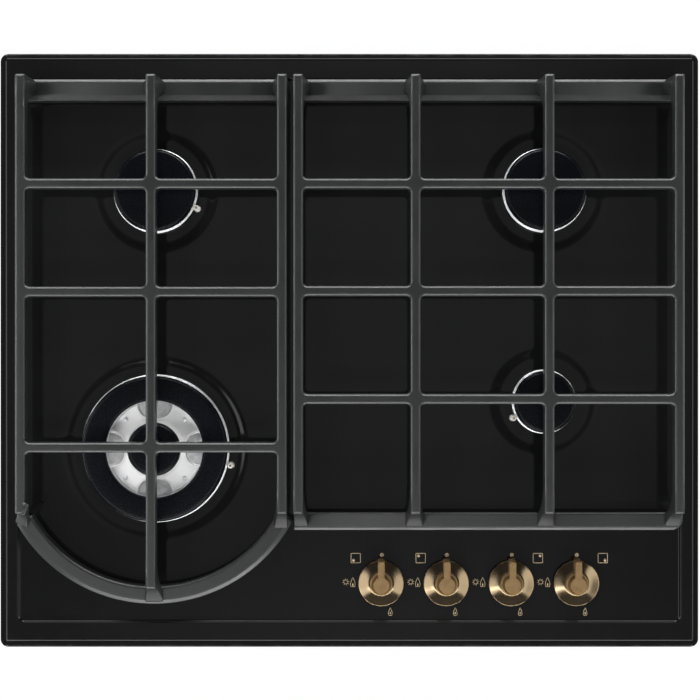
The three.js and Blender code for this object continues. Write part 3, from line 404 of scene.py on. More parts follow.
spark_ceramic, tree, shader = finish("spark_ceramic", (0.78, 0.76, 0.71), 0.3)
glaze = grain(tree, 900, 2.0)
vary(tree, shader, glaze, (0.22, 0.4), ((0.7, 0.67, 0.6), (0.84, 0.82, 0.78)), (0.02, 0.3))

spark_steel, tree, shader = finish("spark_steel", (0.3, 0.24, 0.16), 0.34, 1.0)
scorch = grain(tree, 900, 2.0)
vary(tree, shader, scorch, None, ((0.2, 0.14, 0.07), (0.42, 0.38, 0.32)), (0.02, 0.3))

scale_print, tree, shader = finish("scale_print", (0.44, 0.34, 0.2), 0.5)
ink = grain(tree, 1500, 2.0)
vary(tree, shader, ink, (0.4, 0.6), ((0.36, 0.27, 0.15), (0.5, 0.4, 0.25)), (0.01, 0.3))
print("metals and light finishes ready,", len(bpy.data.materials), "materials")

# %% [markdown]
# ## The top plate
# The real plate is one sheet of steel, pressed and then enamelled. A press can't make a sharp corner,
# so every step is a soft S. Here the sheet is laid out as rings of points that run from the folded rim
# over the deck and down into the recess. The flat areas between the rings and the burner dishes are
# filled, and the sheet then gets its thickness. Where a flat meets a bend, one more ring lies close to
# the bend, so that the smooth shading stays flat up to it.

# %% Outlines and steps of the pressed sheet
def rounded_loop(width, depth, corner, middle=0.0, per_corner=12):
    """Points round a rectangle with round corners, anticlockwise."""
    points = []
    for quarter, (sx, sy) in enumerate([(1, -1), (1, 1), (-1, 1), (-1, -1)]):
        cx, cy = sx * (width / 2 - corner), sy * (depth / 2 - corner) + middle
        for i in range(per_corner + 1):
            angle = math.radians((quarter - 1) * 90 + 90 * i / per_corner)
            points.append((cx + corner * math.cos(angle), cy + corner * math.sin(angle)))
    return points


def soft_step(start, end, low, high, steps):
    """(distance, height) pairs down a pressed step, flat at both ends."""
    shares = [i / steps for i in range(steps + 1)]
    return [(start + (end - start) * t, high + (low - high) * (1 - math.cos(math.pi * t)) / 2)
            for t in shares]


print("a ring of the plate has", len(rounded_loop(PLATE_WIDTH, PLATE_DEPTH, 7)), "points")

# %% [markdown]
# Rings with equal counts are joined by bands of four-sided faces. A flat area with holes in it has rings
# of unequal counts, so it is filled with triangles, which don't show because it is flat.

# %% A sheet made of rings
GUARD = 0.7


class Sheet:
    """Collects rings of points and joins them into one surface that looks up."""

    def __init__(self):
        self.mesh = bmesh.new()

    def ring(self, flat, height):
        """One ring of points at a height."""
        return [self.mesh.verts.new((x * MM, y * MM, height * MM)) for x, y in flat]

    def band(self, outer, inner):
        """The faces between two rings of equal counts."""
        count = len(outer)
        for i in range(count):
            j = (i + 1) % count
            self.mesh.faces.new((outer[i], outer[j], inner[j], inner[i]))

    def bands(self, rings):
        """The faces between each ring and the next."""
        for outer, inner in zip(rings, rings[1:]):
            self.band(outer, inner)

    def hole(self, x, y, radius, height, steps):
        """The edge of a punched hole. Returns a second ring just outside it, for the floor to end on."""
        guard = self.ring(circle(x, y, radius + GUARD, steps), height)
        self.band(guard, self.ring(circle(x, y, radius, steps), height))
        return guard

    def floor(self, *rings):
        """Fills the flat between an outer ring and the rings inside it."""
        edges = []
        for ring in rings:
            for i, corner in enumerate(ring):
                other = ring[(i + 1) % len(ring)]
                edges.append(self.mesh.edges.get((corner, other)) or self.mesh.edges.new((corner, other)))
        filled = bmesh.ops.triangle_fill(self.mesh, use_beauty=True, edges=edges, normal=(0, 0, 1))
        for face in filled["geom"]:
            if isinstance(face, bmesh.types.BMFace):
                face.normal_update()
                if face.normal.z < 0:
                    face.normal_flip()

    def object(self, name):
        """The sheet as an object with a smooth mesh."""
        mesh = bpy.data.meshes.new(name)
        self.mesh.to_mesh(mesh)
        self.mesh.free()
        mesh.shade_smooth()
        return put(name, mesh)


print("sheet ready: ring, band, hole, floor")

# %% [markdown]
# ### Pressing it
# The rim is folded down to the worktop: a short upright edge, a slope and a wide bend, which carries
# the bright line that runs round the plate. A bevel modifier would round all of it evenly, so the
# profile is written as points instead. The dishes and the holes are rings in the same sheet, because a
# hole cut with a boolean would spoil the smooth shading round it.

# %% Press the plate
RIM_FOOT = 0.6
RIM_CORNER = 7
RECESS_CORNER = 6
KNOB_HOLE = 10
SPARK_HOLE = 3.0
TRIPLE_OVERLAP, PLAIN_OVERLAP = 16.5, 6.5
SHEET = 1.0


def rim_profile():
    """(distance from the edge, height): upright, a tight fold, a slope, then a wide bend up to the deck."""
    slope, fold, bend, run = 24, 0.8, 7.0, 3.3
    tilt = math.radians(slope)
    lift = bend * (1 - math.cos(tilt)) + run * math.tan(tilt)
    start = fold * (1 - math.sin(tilt)) + run
    points = [(0, WORKTOP + RIM_FOOT)]
    for a in [math.radians(angle) for angle in range(90, slope - 1, -11)]:
        points.append((fold * (1 - math.sin(a)), DECK - lift - fold * (math.cos(tilt) - math.cos(a))))
    for a in [math.radians(angle) for angle in range(slope, -1, -3)]:
        points.append((start + bend * (math.sin(tilt) - math.sin(a)), DECK - bend * (1 - math.cos(a))))
    return points + [(points[-1][0] + 1, DECK)]


def dish_profile(burner):
    """(distance outside the dish's edge, height) from the recess down to the floor of a burner's dish."""
    run, guard = 11, 0.8
    foot = min(9.0, burner["dish"] - burner["spark"][0] - SPARK_HOLE - guard)
    step = [(-d, z) for d, z in soft_step(foot - run, foot, DISH, RECESS, 14)]
    return [(run - foot + guard, RECESS)] + step + [(-foot - guard, DISH)]


def press_plate():
    """The whole top plate, from the rim to the holes."""
    sheet = Sheet()
    rings = [sheet.ring(rounded_loop(PLATE_WIDTH - 2 * d, PLATE_DEPTH - 2 * d, max(RIM_CORNER - d, 1)), z)
             for d, z in rim_profile()]
    for d, z in [(-0.6, DECK)] + soft_step(0, 3.4, RECESS, DECK, 12) + [(4.2, RECESS)]:
        width, depth, corner = RECESS_WIDTH - 2 * d, RECESS_DEPTH - 2 * d, RECESS_CORNER - d * 0.6
        rings.append(sheet.ring(rounded_loop(width, depth, corner, RECESS_MIDDLE), z))
    sheet.bands(rings)
    openings = []
    for name, burner in BURNERS.items():
        x, y = burner["x"], burner["y"]
        under_crown = TRIPLE_OVERLAP if name == "front_left" else PLAIN_OVERLAP
        loops = [sheet.ring(circle(x, y, burner["dish"] + d), z) for d, z in dish_profile(burner)]
        sheet.bands(loops)
        openings.append(loops[0])
        rod_hole = sheet.hole(*spark_place(burner), SPARK_HOLE, DISH, 24)
        sheet.floor(loops[-1], sheet.hole(x, y, burner["radius"] - under_crown, DISH, 64), rod_hole)
    for x in KNOB_X:
        openings.append(sheet.hole(x, KNOB_Y, KNOB_HOLE, RECESS, 32))
    sheet.floor(rings[-1], *openings)
    plate = sheet.object("pressed_plate")
    plate.data.materials.append(plate_enamel)
    steel = plate.modifiers.new("sheet_thickness", "SOLIDIFY")
    steel.thickness = SHEET * MM
    steel.offset = -1
    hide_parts("top_plate")
    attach(plate, "hob")
    return plate


pressed_plate = press_plate()
print("plate faces", len(pressed_plate.data.polygons))

# %% [markdown]
# ## The pan supports
# They are cast in sand and enamelled, so all edges and inside corners are soft, but the tops of the
# bars are ground flat so that pans stand still. Rounding a copy of the whole solid would blur those
# crisp flats. So each support is laid out again in three kinds of piece: one sheet of rings for the
# grid, where every opening has its own round corners, a loft for each leg, and a loft for each low
# member. Their sizes follow the solid to about a millimetre, and they are joined into one casting at the
# end.

# %% Sizes of the castings
GRID_TOP = RECESS + 45
LOW_TOP = RECESS + 18
LOW_BOTTOM = RECESS + 4
REAR_Y = 230.4
FRONT_Y = -136.3
ARC_FRONT_Y = -198.7
LEFT_END, RIGHT_END = -282.5, 283.0
HALF_BAR = 4
LEG_HEIGHT = GRID_TOP - LOW_TOP
GRIDS = {
    "left_pan_support": dict(bars=[-274.7, -165.7, -56.3], crossings=[139.2, 49.0, -81.1],
                             front=[FRONT_Y, ARC_FRONT_Y, FRONT_Y]),
    "right_pan_support": dict(bars=[-42.8, 55.3, 167.0, 275.5], crossings=[139.2, 49.6, -40.6],
                              front=[FRONT_Y] * 4),
}
BAR_DEPTH = 11.0
REAR_LEG, REAR_FLARE = 14.4, 5.5
FRONT_LEG, FRONT_FLARE = 12, 4
FRONT_LEAN, ARC_LEAN = 0.48, 0.55
# Half the width of a bar and its depth under the top, from the ground flat down to its underside.
BAR_SECTION = [(1.7, 0.0), (2.2, 0.02), (2.5, 0.12), (3.8, 1.06), (4.02, 1.45), (4.12, 2.1), (4.5, 10.2),
               (4.3, 10.8), (3.8, BAR_DEPTH)]
print("bars", 2 * BAR_SECTION[-3][0], "mm wide, flat on top for", 2 * BAR_SECTION[1][0], "mm")

# %% [markdown]
# Every outline of the castings has round corners. A bevel modifier would give them all one radius, but
# an inside corner of a casting is rounder than the end of a bar, so each corner of an outline brings
# its own radius.

# %% Round corners
def round_corner(corner, before, after, radius, steps=6):
    """An arc in place of a square corner between two neighbours."""
    here = Vector(corner)
    back, ahead = (Vector(before) - here).normalized(), (Vector(after) - here).normalized()
    middle = here + (back + ahead) * radius
    return [tuple(middle - (ahead * math.cos(a) + back * math.sin(a)) * radius)
            for a in [math.pi / 2 * i / steps for i in range(steps + 1)]]


def round_outline(corners):
    """A closed outline from (x, y, radius) corners."""
    loop = []
    for i, (x, y, radius) in enumerate(corners):
        before, after = corners[i - 1][:2], corners[(i + 1) % len(corners)][:2]
        loop += round_corner((x, y), before, after, radius)
    return loop


square = [(0, 0, 1), (9, 0, 1), (9, 9, 1), (0, 9, 1)]
print("a square with round corners has", len(round_outline(square)), "points")

# %% [markdown]
# The ring of a grid's outside is a comb with a tooth for each end of a bar. All its rings have the
# same number of points, from the flat top to the underside, so bands of faces join them.

# %% The grid of bars
INSIDE_CORNER = 3.4
WIDEST = 4.6
BAR_END = 4.0


def hollow_corner(half):
    """The radius of a grid's inside corner where its bars are so wide."""
    return INSIDE_CORNER + WIDEST - half


def grid_outline(bars, crossings, front, half):
    """The outside of a grid whose bars are so wide, anticlockwise."""
    past_end = BAR_END - min(half, BAR_END)
    tip = max(0.25, 1.2 - (WIDEST - half) * 0.4)
    last = len(bars) - 1
    corners = []
    for i, x in enumerate(bars):
        y, foot = front[i] + past_end, crossings[-1] - half
        if i:
            corners.append((x - half, foot, hollow_corner(half)))
        corners += [(x - half, y, tip), (x + half, y, tip)]
        if i < last:
            corners.append((x + half, foot, hollow_corner(half)))
    for i, x in reversed(list(enumerate(bars))):
        y, head = REAR_Y - past_end, crossings[0] + half
        if i < last:
            corners.append((x + half, head, hollow_corner(half)))
        corners += [(x + half, y, tip), (x - half, y, tip)]
        if i:
            corners.append((x - half, head, hollow_corner(half)))
    return round_outline(corners)


def cell_outline(x0, x1, y0, y1, half):
    """One opening of a grid, anticlockwise."""
    x0, x1, y0, y1, hollow = x0 + half, x1 - half, y0 + half, y1 - half, hollow_corner(half)
    return round_outline([(x0, y0, hollow), (x1, y0, hollow), (x1, y1, hollow), (x0, y1, hollow)])


def bar_grid(name, bars, crossings, front):
    """All bars of one support as one closed sheet."""
    sheet = Sheet()
    cells = [(x0, x1, y0, y1) for x0, x1 in zip(bars, bars[1:]) for y1, y0 in zip(crossings, crossings[1:])]
    outside = [sheet.ring(grid_outline(bars, crossings, front, half), GRID_TOP - depth)
               for half, depth in BAR_SECTION]
    sheet.bands(outside[::-1])
    openings = []
    for cell in cells:
        rings = [sheet.ring(cell_outline(*cell, half), GRID_TOP - depth) for half, depth in BAR_SECTION]
        sheet.bands(rings)
        openings.append(rings)
    sheet.floor(outside[0], *[rings[0] for rings in openings])
    sheet.floor(outside[-1], *[rings[-1] for rings in openings])
    bmesh.ops.recalc_face_normals(sheet.mesh, faces=sheet.mesh.faces)
    return sheet.object(name)


outside_points = grid_outline(*GRIDS["right_pan_support"].values(), WIDEST)
print("a grid has", len(outside_points), "points round its outside")

# %% [markdown]
# A leg comes down from a bar's end and grows wider towards its foot. Under the bar a haunch, a round
# fillet, carries the load into the leg. A leaning leg runs out to the front as it comes down.

# %% Legs
LEG_ROWS = 32
LEG_INTO_MEMBER = 3
LEG_START = 0.4
HALF_LEG = 3.9
FLARE_CURVE, LEAN_CURVE = 1.8, 2.1


def loft(name, loops):
    """A closed solid through loops of equal counts."""
    count, rows = len(loops[0]), len(loops)
    faces = []
    for row in range(rows - 1):
        here, ahead = row * count, (row + 1) * count
        for i in range(count):
            j = (i + 1) % count
            faces.append((here + i, here + j, ahead + j, ahead + i))
    faces += [list(range(count)), list(reversed(range((rows - 1) * count, rows * count)))]
    return faces_out(put(name, mesh_of(name, [point for loop in loops for point in loop], faces)))


def haunch_reach(drop, haunch):
    """How far the haunch reaches out from the leg, so far under the bar's top."""
    under = drop - BAR_DEPTH
    if under < 0:
        return haunch
    return haunch - math.sqrt(haunch ** 2 - (haunch - under) ** 2) if under < haunch else 0.0


def leg(x, y, depth, left, right, lean=0.0, facing=0.0, behind=1, haunch=13.0):
    """A leg that comes down from a bar's end at (x, y).

    left and right are (flare, slant) at the foot, lean is how far it runs out per millimetre of height,
    facing turns it in plan by so many degrees, and behind is +1 where the bar runs to the rear of the
    leg, -1 where it runs to the front.
    """
    loops = []
    cos, sin = math.cos(math.radians(facing)), math.sin(math.radians(facing))
    top = GRID_TOP - LEG_START
    for row in range(LEG_ROWS + 1):
        height = top - (top - LOW_TOP + LEG_INTO_MEMBER) * row / LEG_ROWS
        drop = GRID_TOP - height
        fall = min(1.0, drop / LEG_HEIGHT)
        sides, corners = [], []
        for flare, slant in (left, right):
            spread_out = flare * fall ** FLARE_CURVE
            sides.append(HALF_LEG + slant * fall + spread_out)
            corners.append(1.1 + (0.2 if lean else 0.75) * spread_out)
        shoulder = max(0.0, 1.6 - drop) * (0.9 if lean else 0.35)
        front = behind * (shoulder - lean * LEG_HEIGHT * fall ** LEAN_CURVE)
        back = behind * (depth - lean * drop + haunch_reach(drop, haunch) * 0.96)
        flat = [(-sides[0], front, corners[0]), (sides[1], front, corners[1]),
                (sides[1], back, corners[1]), (-sides[0], back, corners[0])]
        if behind < 0:
            flat.reverse()
        loops.append([(x + px * cos - py * sin, y + px * sin + py * cos, height)
                      for px, py in round_outline(flat)])
    return loft("leg", loops)


print("legs run from", GRID_TOP, "down into the low members at", LOW_TOP)

# %% [markdown]
# The low members tie the feet of the legs together. Their edges are bevelled at 20 to 45 degrees, and
# each turn of a bevel is a group of close points, so it stays crisp under the smooth shading. The left
# support's front member follows the triple crown round an arc.

# %% Low members
def bevelled_edge(width, drop):
    """(distance from the side, depth under the top) up a side, over its bevel and onto the top."""
    tilt = (drop - 0.3) / (width - 0.4)
    return [(0.0, drop + 0.9), (0.1, drop + 0.4), (0.4, drop), (0.7, drop - 0.3 * tilt),
            (width - 0.3, 0.3 + 0.3 * tilt), (width, 0.3), (width + 0.8, 0), (width + 1.4, 0)]


def low_section(depth, front, rear, lean=0.0):
    """(distance to the rear, height) round a low member. front and rear are (width, drop) of its bevels."""
    points = [(0.6, LOW_BOTTOM), (0.0, LOW_BOTTOM + 0.6)]
    points += [(distance, LOW_TOP - drop) for distance, drop in bevelled_edge(*front)]
    points += [(depth - distance, LOW_TOP - drop) for distance, drop in reversed(bevelled_edge(*rear))]
    points += [(depth, LOW_BOTTOM + 0.6), (depth - 0.6, LOW_BOTTOM)]
    return [(distance + lean * (height - LOW_TOP), height) for distance, height in points]


REAR_DEPTH = 18.5
REAR_SECTION = low_section(REAR_DEPTH, (4.6, 1.8), (2.3, 1.4))
FRONT_SECTION = low_section(15.4, (2.4, 1.6), (1.0, 0.9), 0.19)
ARC_SECTION = low_section(15.2, (3.2, 2.4), (1.4, 1.2))
ARC_X, ARC_Y, ARC_R = -166.2, -81.4, 126.6
ARC_OUTSIDE = 7.6
END_BREAK = 0.4


def straight_member(name, x0, x1, y, section, corner=0.0):
    """A low member along X whose front face is at y. corner rounds its front right end in plan."""
    depth = max(distance for distance, _ in section)
    bend = [x1 - corner + corner * math.sin(math.radians(a)) for a in range(0, 91, 6)]
    stops = [x0, x0 + END_BREAK] + (bend if corner else [x1 - END_BREAK, x1])
    loops = []
    for i, x in enumerate(stops):
        into_bend = max(0.0, x - (x1 - corner))
        rounded = corner - math.sqrt(max(0.0, corner ** 2 - into_bend ** 2)) if corner else 0.0
        shy = END_BREAK if i in (0, len(stops) - 1) else 0.0
        loops.append([(x, y + min(max(distance, rounded + shy), depth - shy),
                       min(max(height, LOW_BOTTOM + shy), LOW_TOP - shy)) for distance, height in section])
    return loft(name, loops)


def arc_member(name, start, stop, steps=110):
    """The low member that follows the triple crown, its section turned along the arc."""
    loops = []
    for i in range(steps + 1):
        angle = math.radians(start + (stop - start) * i / steps)
        reaches = [(ARC_R + ARC_OUTSIDE - distance, height) for distance, height in ARC_SECTION]
        loops.append([(ARC_X + reach * math.cos(angle), ARC_Y + reach * math.sin(angle), height)
                      for reach, height in reaches])
    return loft(name, loops)


print("rear members are", REAR_DEPTH, "mm deep, the arc's radius is", ARC_R, "mm")

# %% [markdown]
# ### Joining the castings
# The real support is one piece of iron. Its parts overlap here and are joined into one object without a
# boolean, because a union would break up the crisp bevels. Most joints lie inside the metal, but a
# bar's rear end shares a plane with its leg, and from behind that shows as a dark patch: one of the two
# should lie a little deeper.

# %% Assemble the castings
def row_of_legs(bars, left_end, right_end, y, depth, flare, lean, behind):
    """A leg under the end of every bar. The outer ones slant out to the ends of the low member."""
    legs = []
    for i, x in enumerate(bars):
        left = (0, x - HALF_BAR - left_end) if i == 0 else (flare, 0)
        right = (0, right_end - x - HALF_BAR) if i == len(bars) - 1 else (flare, 0)
        legs.append(leg(x, y, depth, left, right, lean, 0, behind))
    return legs


def rear_row(name, bars, left_end, right_end):
    """The rear low member of a support and the legs that stand on it."""
    member = straight_member(name, left_end, right_end, REAR_Y - REAR_DEPTH, REAR_SECTION)
    legs = row_of_legs(bars, left_end, right_end, REAR_Y, REAR_LEG, REAR_FLARE, 0.0, -1)
    return [member] + legs


def finish_casting(node, parts):
    """Joins the parts of one support into its casting."""
    for part in parts:
        part.data.materials.append(iron_enamel)
    casting = one_piece(node.replace("pan_support", "casting"), parts)
    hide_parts(node)
    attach(casting, node)
    print(casting.name, "faces", len(casting.data.polygons))


left_grid = GRIDS["left_pan_support"]
rail, middle, inner_rail = left_grid["bars"]
left_parts = [bar_grid("left_grid", **left_grid), arc_member("left_arc", -150.5, -27.8)]
left_parts += rear_row("left_rear", left_grid["bars"], LEFT_END, inner_rail + HALF_BAR)
left_parts += [leg(rail, FRONT_Y, 8.5, (0, 0), (3.4, 0), 0.46, -26, 1, 2.0),
               leg(middle, ARC_FRONT_Y, FRONT_LEG, (FRONT_FLARE, 0), (FRONT_FLARE, 0), ARC_LEAN),
               leg(inner_rail, FRONT_Y, FRONT_LEG, (FRONT_FLARE, 0), (0, 0), ARC_LEAN)]
finish_casting("left_pan_support", left_parts)

# %% [markdown]
# The right support has four bars and a straight front member, whose right end is rounded in plan. Its
# front legs lean out, so the member stands in front of the ends of the bars.

# %% The right casting
right_grid = GRIDS["right_pan_support"]
right_start = right_grid["bars"][0] - HALF_BAR
member_front = FRONT_Y - FRONT_LEAN * LEG_HEIGHT - 3.4
right_parts = [bar_grid("right_grid", **right_grid),
               straight_member("right_front", right_start, RIGHT_END, member_front, FRONT_SECTION, 9.5)]
right_parts += rear_row("right_rear", right_grid["bars"], right_start, RIGHT_END)
right_parts += row_of_legs(right_grid["bars"], right_start, RIGHT_END - 2, FRONT_Y, FRONT_LEG, FRONT_FLARE,
                           FRONT_LEAN, 1)
finish_casting("right_pan_support", right_parts)

# %% [markdown]
# ## Burners
# A crown is a die-cast ring with slots for the flames. The slots repeat round the axis, so a small
# Geometry Nodes tree turns one slot cutter into a full circle of them and cuts them all at once. The
# triple crown needs a second tree that repeats whole parts, so what both trees share comes first.

# %% What both trees share
def new_tree(name, inputs):
    """A Geometry Nodes tree with these inputs, and its input node. It sends out one geometry."""
    tree = bpy.data.node_groups.new(name, "GeometryNodeTree")
    for label, kind in inputs:
        tree.interface.new_socket(label, in_out="INPUT", socket_type="NodeSocket" + kind)
    tree.interface.new_socket("Result", in_out="OUTPUT", socket_type="NodeSocketGeometry")
    return tree, tree.nodes.new("NodeGroupInput")


def copies_round_axis(tree, start, points, part, first_turn=None):
    """A copy of the part on each point, turned by its share of a full circle, and all moved to Place."""
    node, link = tree.nodes.new, tree.links.new
    share, full = node("ShaderNodeMath"), node("ShaderNodeMath")
    share.operation, full.operation = "DIVIDE", "MULTIPLY_ADD"
    full.inputs[1].default_value = 2 * math.pi
    full.inputs[2].default_value = 0.0
    turned_to = node("ShaderNodeCombineXYZ")
    copies = node("GeometryNodeInstanceOnPoints")
    real = node("GeometryNodeRealizeInstances")
    move = node("GeometryNodeTransform")
    link(node("GeometryNodeInputIndex").outputs[0], share.inputs[0])
    link(start.outputs["Count"], share.inputs[1])
    link(share.outputs[0], full.inputs[0])
    if first_turn is not None:
        link(first_turn, full.inputs[2])
    link(full.outputs[0], turned_to.inputs["Z"])
    link(points, copies.inputs["Points"])
    link(part, copies.inputs["Instance"])
    link(turned_to.outputs[0], copies.inputs["Rotation"])
    link(copies.outputs[0], real.inputs[0])
    link(real.outputs[0], move.inputs["Geometry"])
    link(start.outputs["Place"], move.inputs["Translation"])
    return move.outputs[0]


def end_painted(tree, start, geometry):
    """Gives the geometry the finish that comes in and sends it out."""
    paint = tree.nodes.new("GeometryNodeSetMaterial")
    tree.links.new(geometry, paint.inputs["Geometry"])
    tree.links.new(start.outputs["Finish"], paint.inputs["Material"])
    tree.links.new(paint.outputs[0], tree.nodes.new("NodeGroupOutput").inputs[0])


print("tree parts ready: inputs, copies round an axis, paint")

# %% [markdown]
# The slot cutter is one box. A mesh circle gives it its places, and one boolean takes all the boxes out
# of the ring at once, which is quicker and cleaner than a modifier for each slot.

# %% The slot-cutting tree
def slot_tree():
    """Geometry Nodes: cuts a circle of slots into the incoming ring."""
    tree, start = new_tree("flame_slots", [
        ("Ring", "Geometry"), ("Count", "Int"), ("Circle Radius", "Float"), ("Slot Size", "Vector"),
        ("Place", "Vector"), ("Finish", "Material")])
    circle_points = tree.nodes.new("GeometryNodeMeshCircle")
    cutter = tree.nodes.new("GeometryNodeMeshCube")
    carve = tree.nodes.new("GeometryNodeMeshBoolean")
    carve.operation = "DIFFERENCE"
    link = tree.links.new
    link(start.outputs["Count"], circle_points.inputs["Vertices"])
    link(start.outputs["Circle Radius"], circle_points.inputs["Radius"])
    link(start.outputs["Slot Size"], cutter.inputs["Size"])
    cutters = copies_round_axis(tree, start, circle_points.outputs["Mesh"], cutter.outputs["Mesh"])
    link(start.outputs["Ring"], carve.inputs["Mesh 1"])
    link(cutters, carve.inputs["Mesh 2"])
    end_painted(tree, start, carve.outputs["Mesh"])
    return tree


flame_slots = slot_tree()
print("tree inputs", [item.name for item in flame_slots.interface.items_tree if item.in_out == "INPUT"])

# %% [markdown]
# A modifier takes a tree's values by identifier, so a small helper looks them up by name. The result is
# then made into a plain mesh, because parts with different finishes are joined into one piece later.

# %% Cut slots into a ring
def set_inputs(modifier, **values):
    """Sets a tree's inputs by the identifier of each named socket."""
    for item in modifier.node_group.interface.items_tree:
        key = item.name.replace(" ", "_").lower()
        if item.in_out == "INPUT" and key in values:
            modifier[item.identifier] = values[key]


def settle(piece):
    """Turns the result of a piece's modifiers into a plain mesh and removes them."""
    bpy.context.view_layer.update()
    made = bpy.data.meshes.new_from_object(piece.evaluated_get(bpy.context.evaluated_depsgraph_get()))
    piece.modifiers.clear()
    piece.data = made
    return piece


def cut_slots(ring, count, radius, size, place, material):
    """Cuts flame slots of this size into a ring, all round a circle at the place."""
    modifier = ring.modifiers.new("flame_slots", "NODES")
    modifier.node_group = flame_slots
    set_inputs(modifier, count=count, circle_radius=radius * MM, slot_size=[v * MM for v in size],
               place=[v * MM for v in place], finish=material)
    return settle(ring)


CROWN_BASE = 4.3
CROWN_TOP = 13.3
print("a crown stands", CROWN_TOP - CROWN_BASE, "mm over its cup")

# %% [markdown]
# A plain crown is a hollow disc on a spigot, turned from one profile. Under its slots runs a bright
# rounded lip. The cap is a little smaller than the lip, so from above the lip shows as a thin bright
# ring.

# %% Plain crowns
SPIGOT_FOOT = CROWN_BASE - 10
RING_WALL = 6.5
SLOT_MIDDLE = 3.5
SLOTS_PER_MM = 0.8


def bright_lip(radius):
    """The bright rounded lip under the flame slots."""
    return [(radius - inside, CROWN_BASE + height) for inside, height in [
        (0, 1.7), (0.12, 2.1), (0.45, 2.42), (0.9, 2.55), (1.4, 2.6), (1.75, 2.9)]]


def ring_wall(radius):
    """From the bright lip up over the top of the slotted ring."""
    return bright_lip(radius) + [(radius - 2.3, CROWN_TOP - 0.4), (radius - 2.8, CROWN_TOP),
                                 (radius - RING_WALL, CROWN_TOP)]


def plain_crown(place):
    """A crown with one ring of flames, and a spigot that goes into its cup."""
    burner = BURNERS[place]
    r, spigot = burner["radius"], burner["radius"] * 0.36
    bore, floor = spigot - 2.5, CROWN_BASE + 3
    ring = turn(place + "_flame_ring", [
        (bore, SPIGOT_FOOT), (spigot, SPIGOT_FOOT), (spigot, CROWN_BASE), (r - 1, CROWN_BASE + 0.3),
        (r, CROWN_BASE + 1)] + ring_wall(r) + [(r - RING_WALL, floor), (bore, floor)],
        (burner["x"], burner["y"], DISH))
    ring.data.materials.append(die_cast)
    ring = cut_slots(ring, round(r * SLOTS_PER_MM), r - SLOT_MIDDLE, (11, 1.3, 9),
                     (burner["x"], burner["y"], DISH + CROWN_TOP), die_cast)
    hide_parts(place + "_crown")
    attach(ring, place + "_crown")


print("the rear crowns get", round(BURNERS["rear_left"]["radius"] * SLOTS_PER_MM), "slots each")

# %% [markdown]
# The caps are steel discs in satin enamel. They close the gas channel and spread the flames, and a rib
# under each keeps it centred on its crown. A cylinder with a bevel would be too even for them, so the
# edge is a short run of points: a steep side, then a wide shoulder that fades into the top.

# %% Caps
CAP_HEIGHT = 5.2
CAP_GAP = 0.3
CAP_RIB = 1.6


def cap_edge(radius, seat):
    """The outside of a cap, from its underside up to the edge of its flat top."""
    top = seat + CAP_HEIGHT
    under = [(radius - 0.5, seat + CAP_GAP), (radius, seat + CAP_GAP + 0.5)]
    return under + [(radius - inside, top - drop) for inside, drop in [
        (0.2, 3.4), (0.9, 1.6), (1.7, 0.6), (2.6, 0.1), (3.8, 0)]]


def cap_rib(radius, seat):
    """The rib under a cap that keeps it on its seat."""
    under, foot = seat + CAP_GAP, seat - CAP_RIB
    return [(radius - 2, under), (radius - 2, foot), (radius, foot), (radius, under)]


def domed_cap(name, node, body, burner, radius, rib, seat):
    """A round cap whose top rises a little to the middle. It stands for a node and rides on a body."""
    top = seat + CAP_HEIGHT
    profile = [(0, seat + CAP_GAP)] + cap_rib(rib, seat) + cap_edge(radius, seat)
    profile += [(radius * 0.5, top + 0.3), (0, top + 0.4)]
    cap = turn(name, profile, (burner["x"], burner["y"], DISH))
    cap.data.materials.append(cap_enamel)
    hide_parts(node)
    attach(cap, body)


for place in PLACES[1:]:
    plain_crown(place)
    radius = BURNERS[place]["radius"]
    domed_cap(place + "_cap_enamelled", place + "_cap", place + "_cap", BURNERS[place], radius - 1.15,
              radius - 7.2, CROWN_TOP)
print("three plain burners dressed")

# %% [markdown]
# ## The triple crown
# The real one has three rings of flames: one round the inner pot and one on either side of the outer
# ring. Between pot and ring lies a bright faced dish, crossed by four hollow ducts that flare like
# trumpets towards the ring, each with a rolled edge. A duct is drawn once and turned to its four places
# by a Geometry Nodes tree, and so are its edge and the pips between the ducts.

# %% The tree that repeats a part round an axis
def repeat_tree():
    """Geometry Nodes: repeats the incoming part round an axis."""
    tree, start = new_tree("repeat_round_axis", [
        ("Part", "Geometry"), ("Count", "Int"), ("First Turn", "Float"), ("Place", "Vector"),
        ("Finish", "Material")])
    points = tree.nodes.new("GeometryNodePoints")
    tree.links.new(start.outputs["Count"], points.inputs["Count"])
    part, first_turn = start.outputs["Part"], start.outputs["First Turn"]
    end_painted(tree, start, copies_round_axis(tree, start, points.outputs[0], part, first_turn))
    return tree


round_axis = repeat_tree()


def repeated(part, count, first, place, material):
    """Repeats a part, drawn at the origin, round an axis at a place."""
    modifier = part.modifiers.new("round_axis", "NODES")
    modifier.node_group = round_axis
    set_inputs(modifier, count=count, first_turn=math.radians(first), place=[v * MM for v in place],
               finish=material)
    return settle(part)


print("repeat tree has", len(round_axis.nodes), "nodes")

# %% [markdown]
# ### A duct
# The real ducts are cast with the crown and carry gas from the pot to the outer ring. From above each
# is a hollow trumpet with a rolled edge. A sweep along a curve can't change its width so fast, so the
# duct is a grid of points whose width follows a formula, and its edge is a thin rod bent along it.

# %% One duct, as a loft that flares
SILVER_R = 39.5
INNER_CAP_R = 22.8
INNER_TOP = 18.3
DUCT_START, DUCT_RUN = 25.5, 15.5
DUCT_HALF, THROAT_HALF = 15.4, 0.3
DUCT_ROWS, DUCT_ACROSS = 28, 61
DUCT_LIFT = 0.8
EDGE_R = 0.5


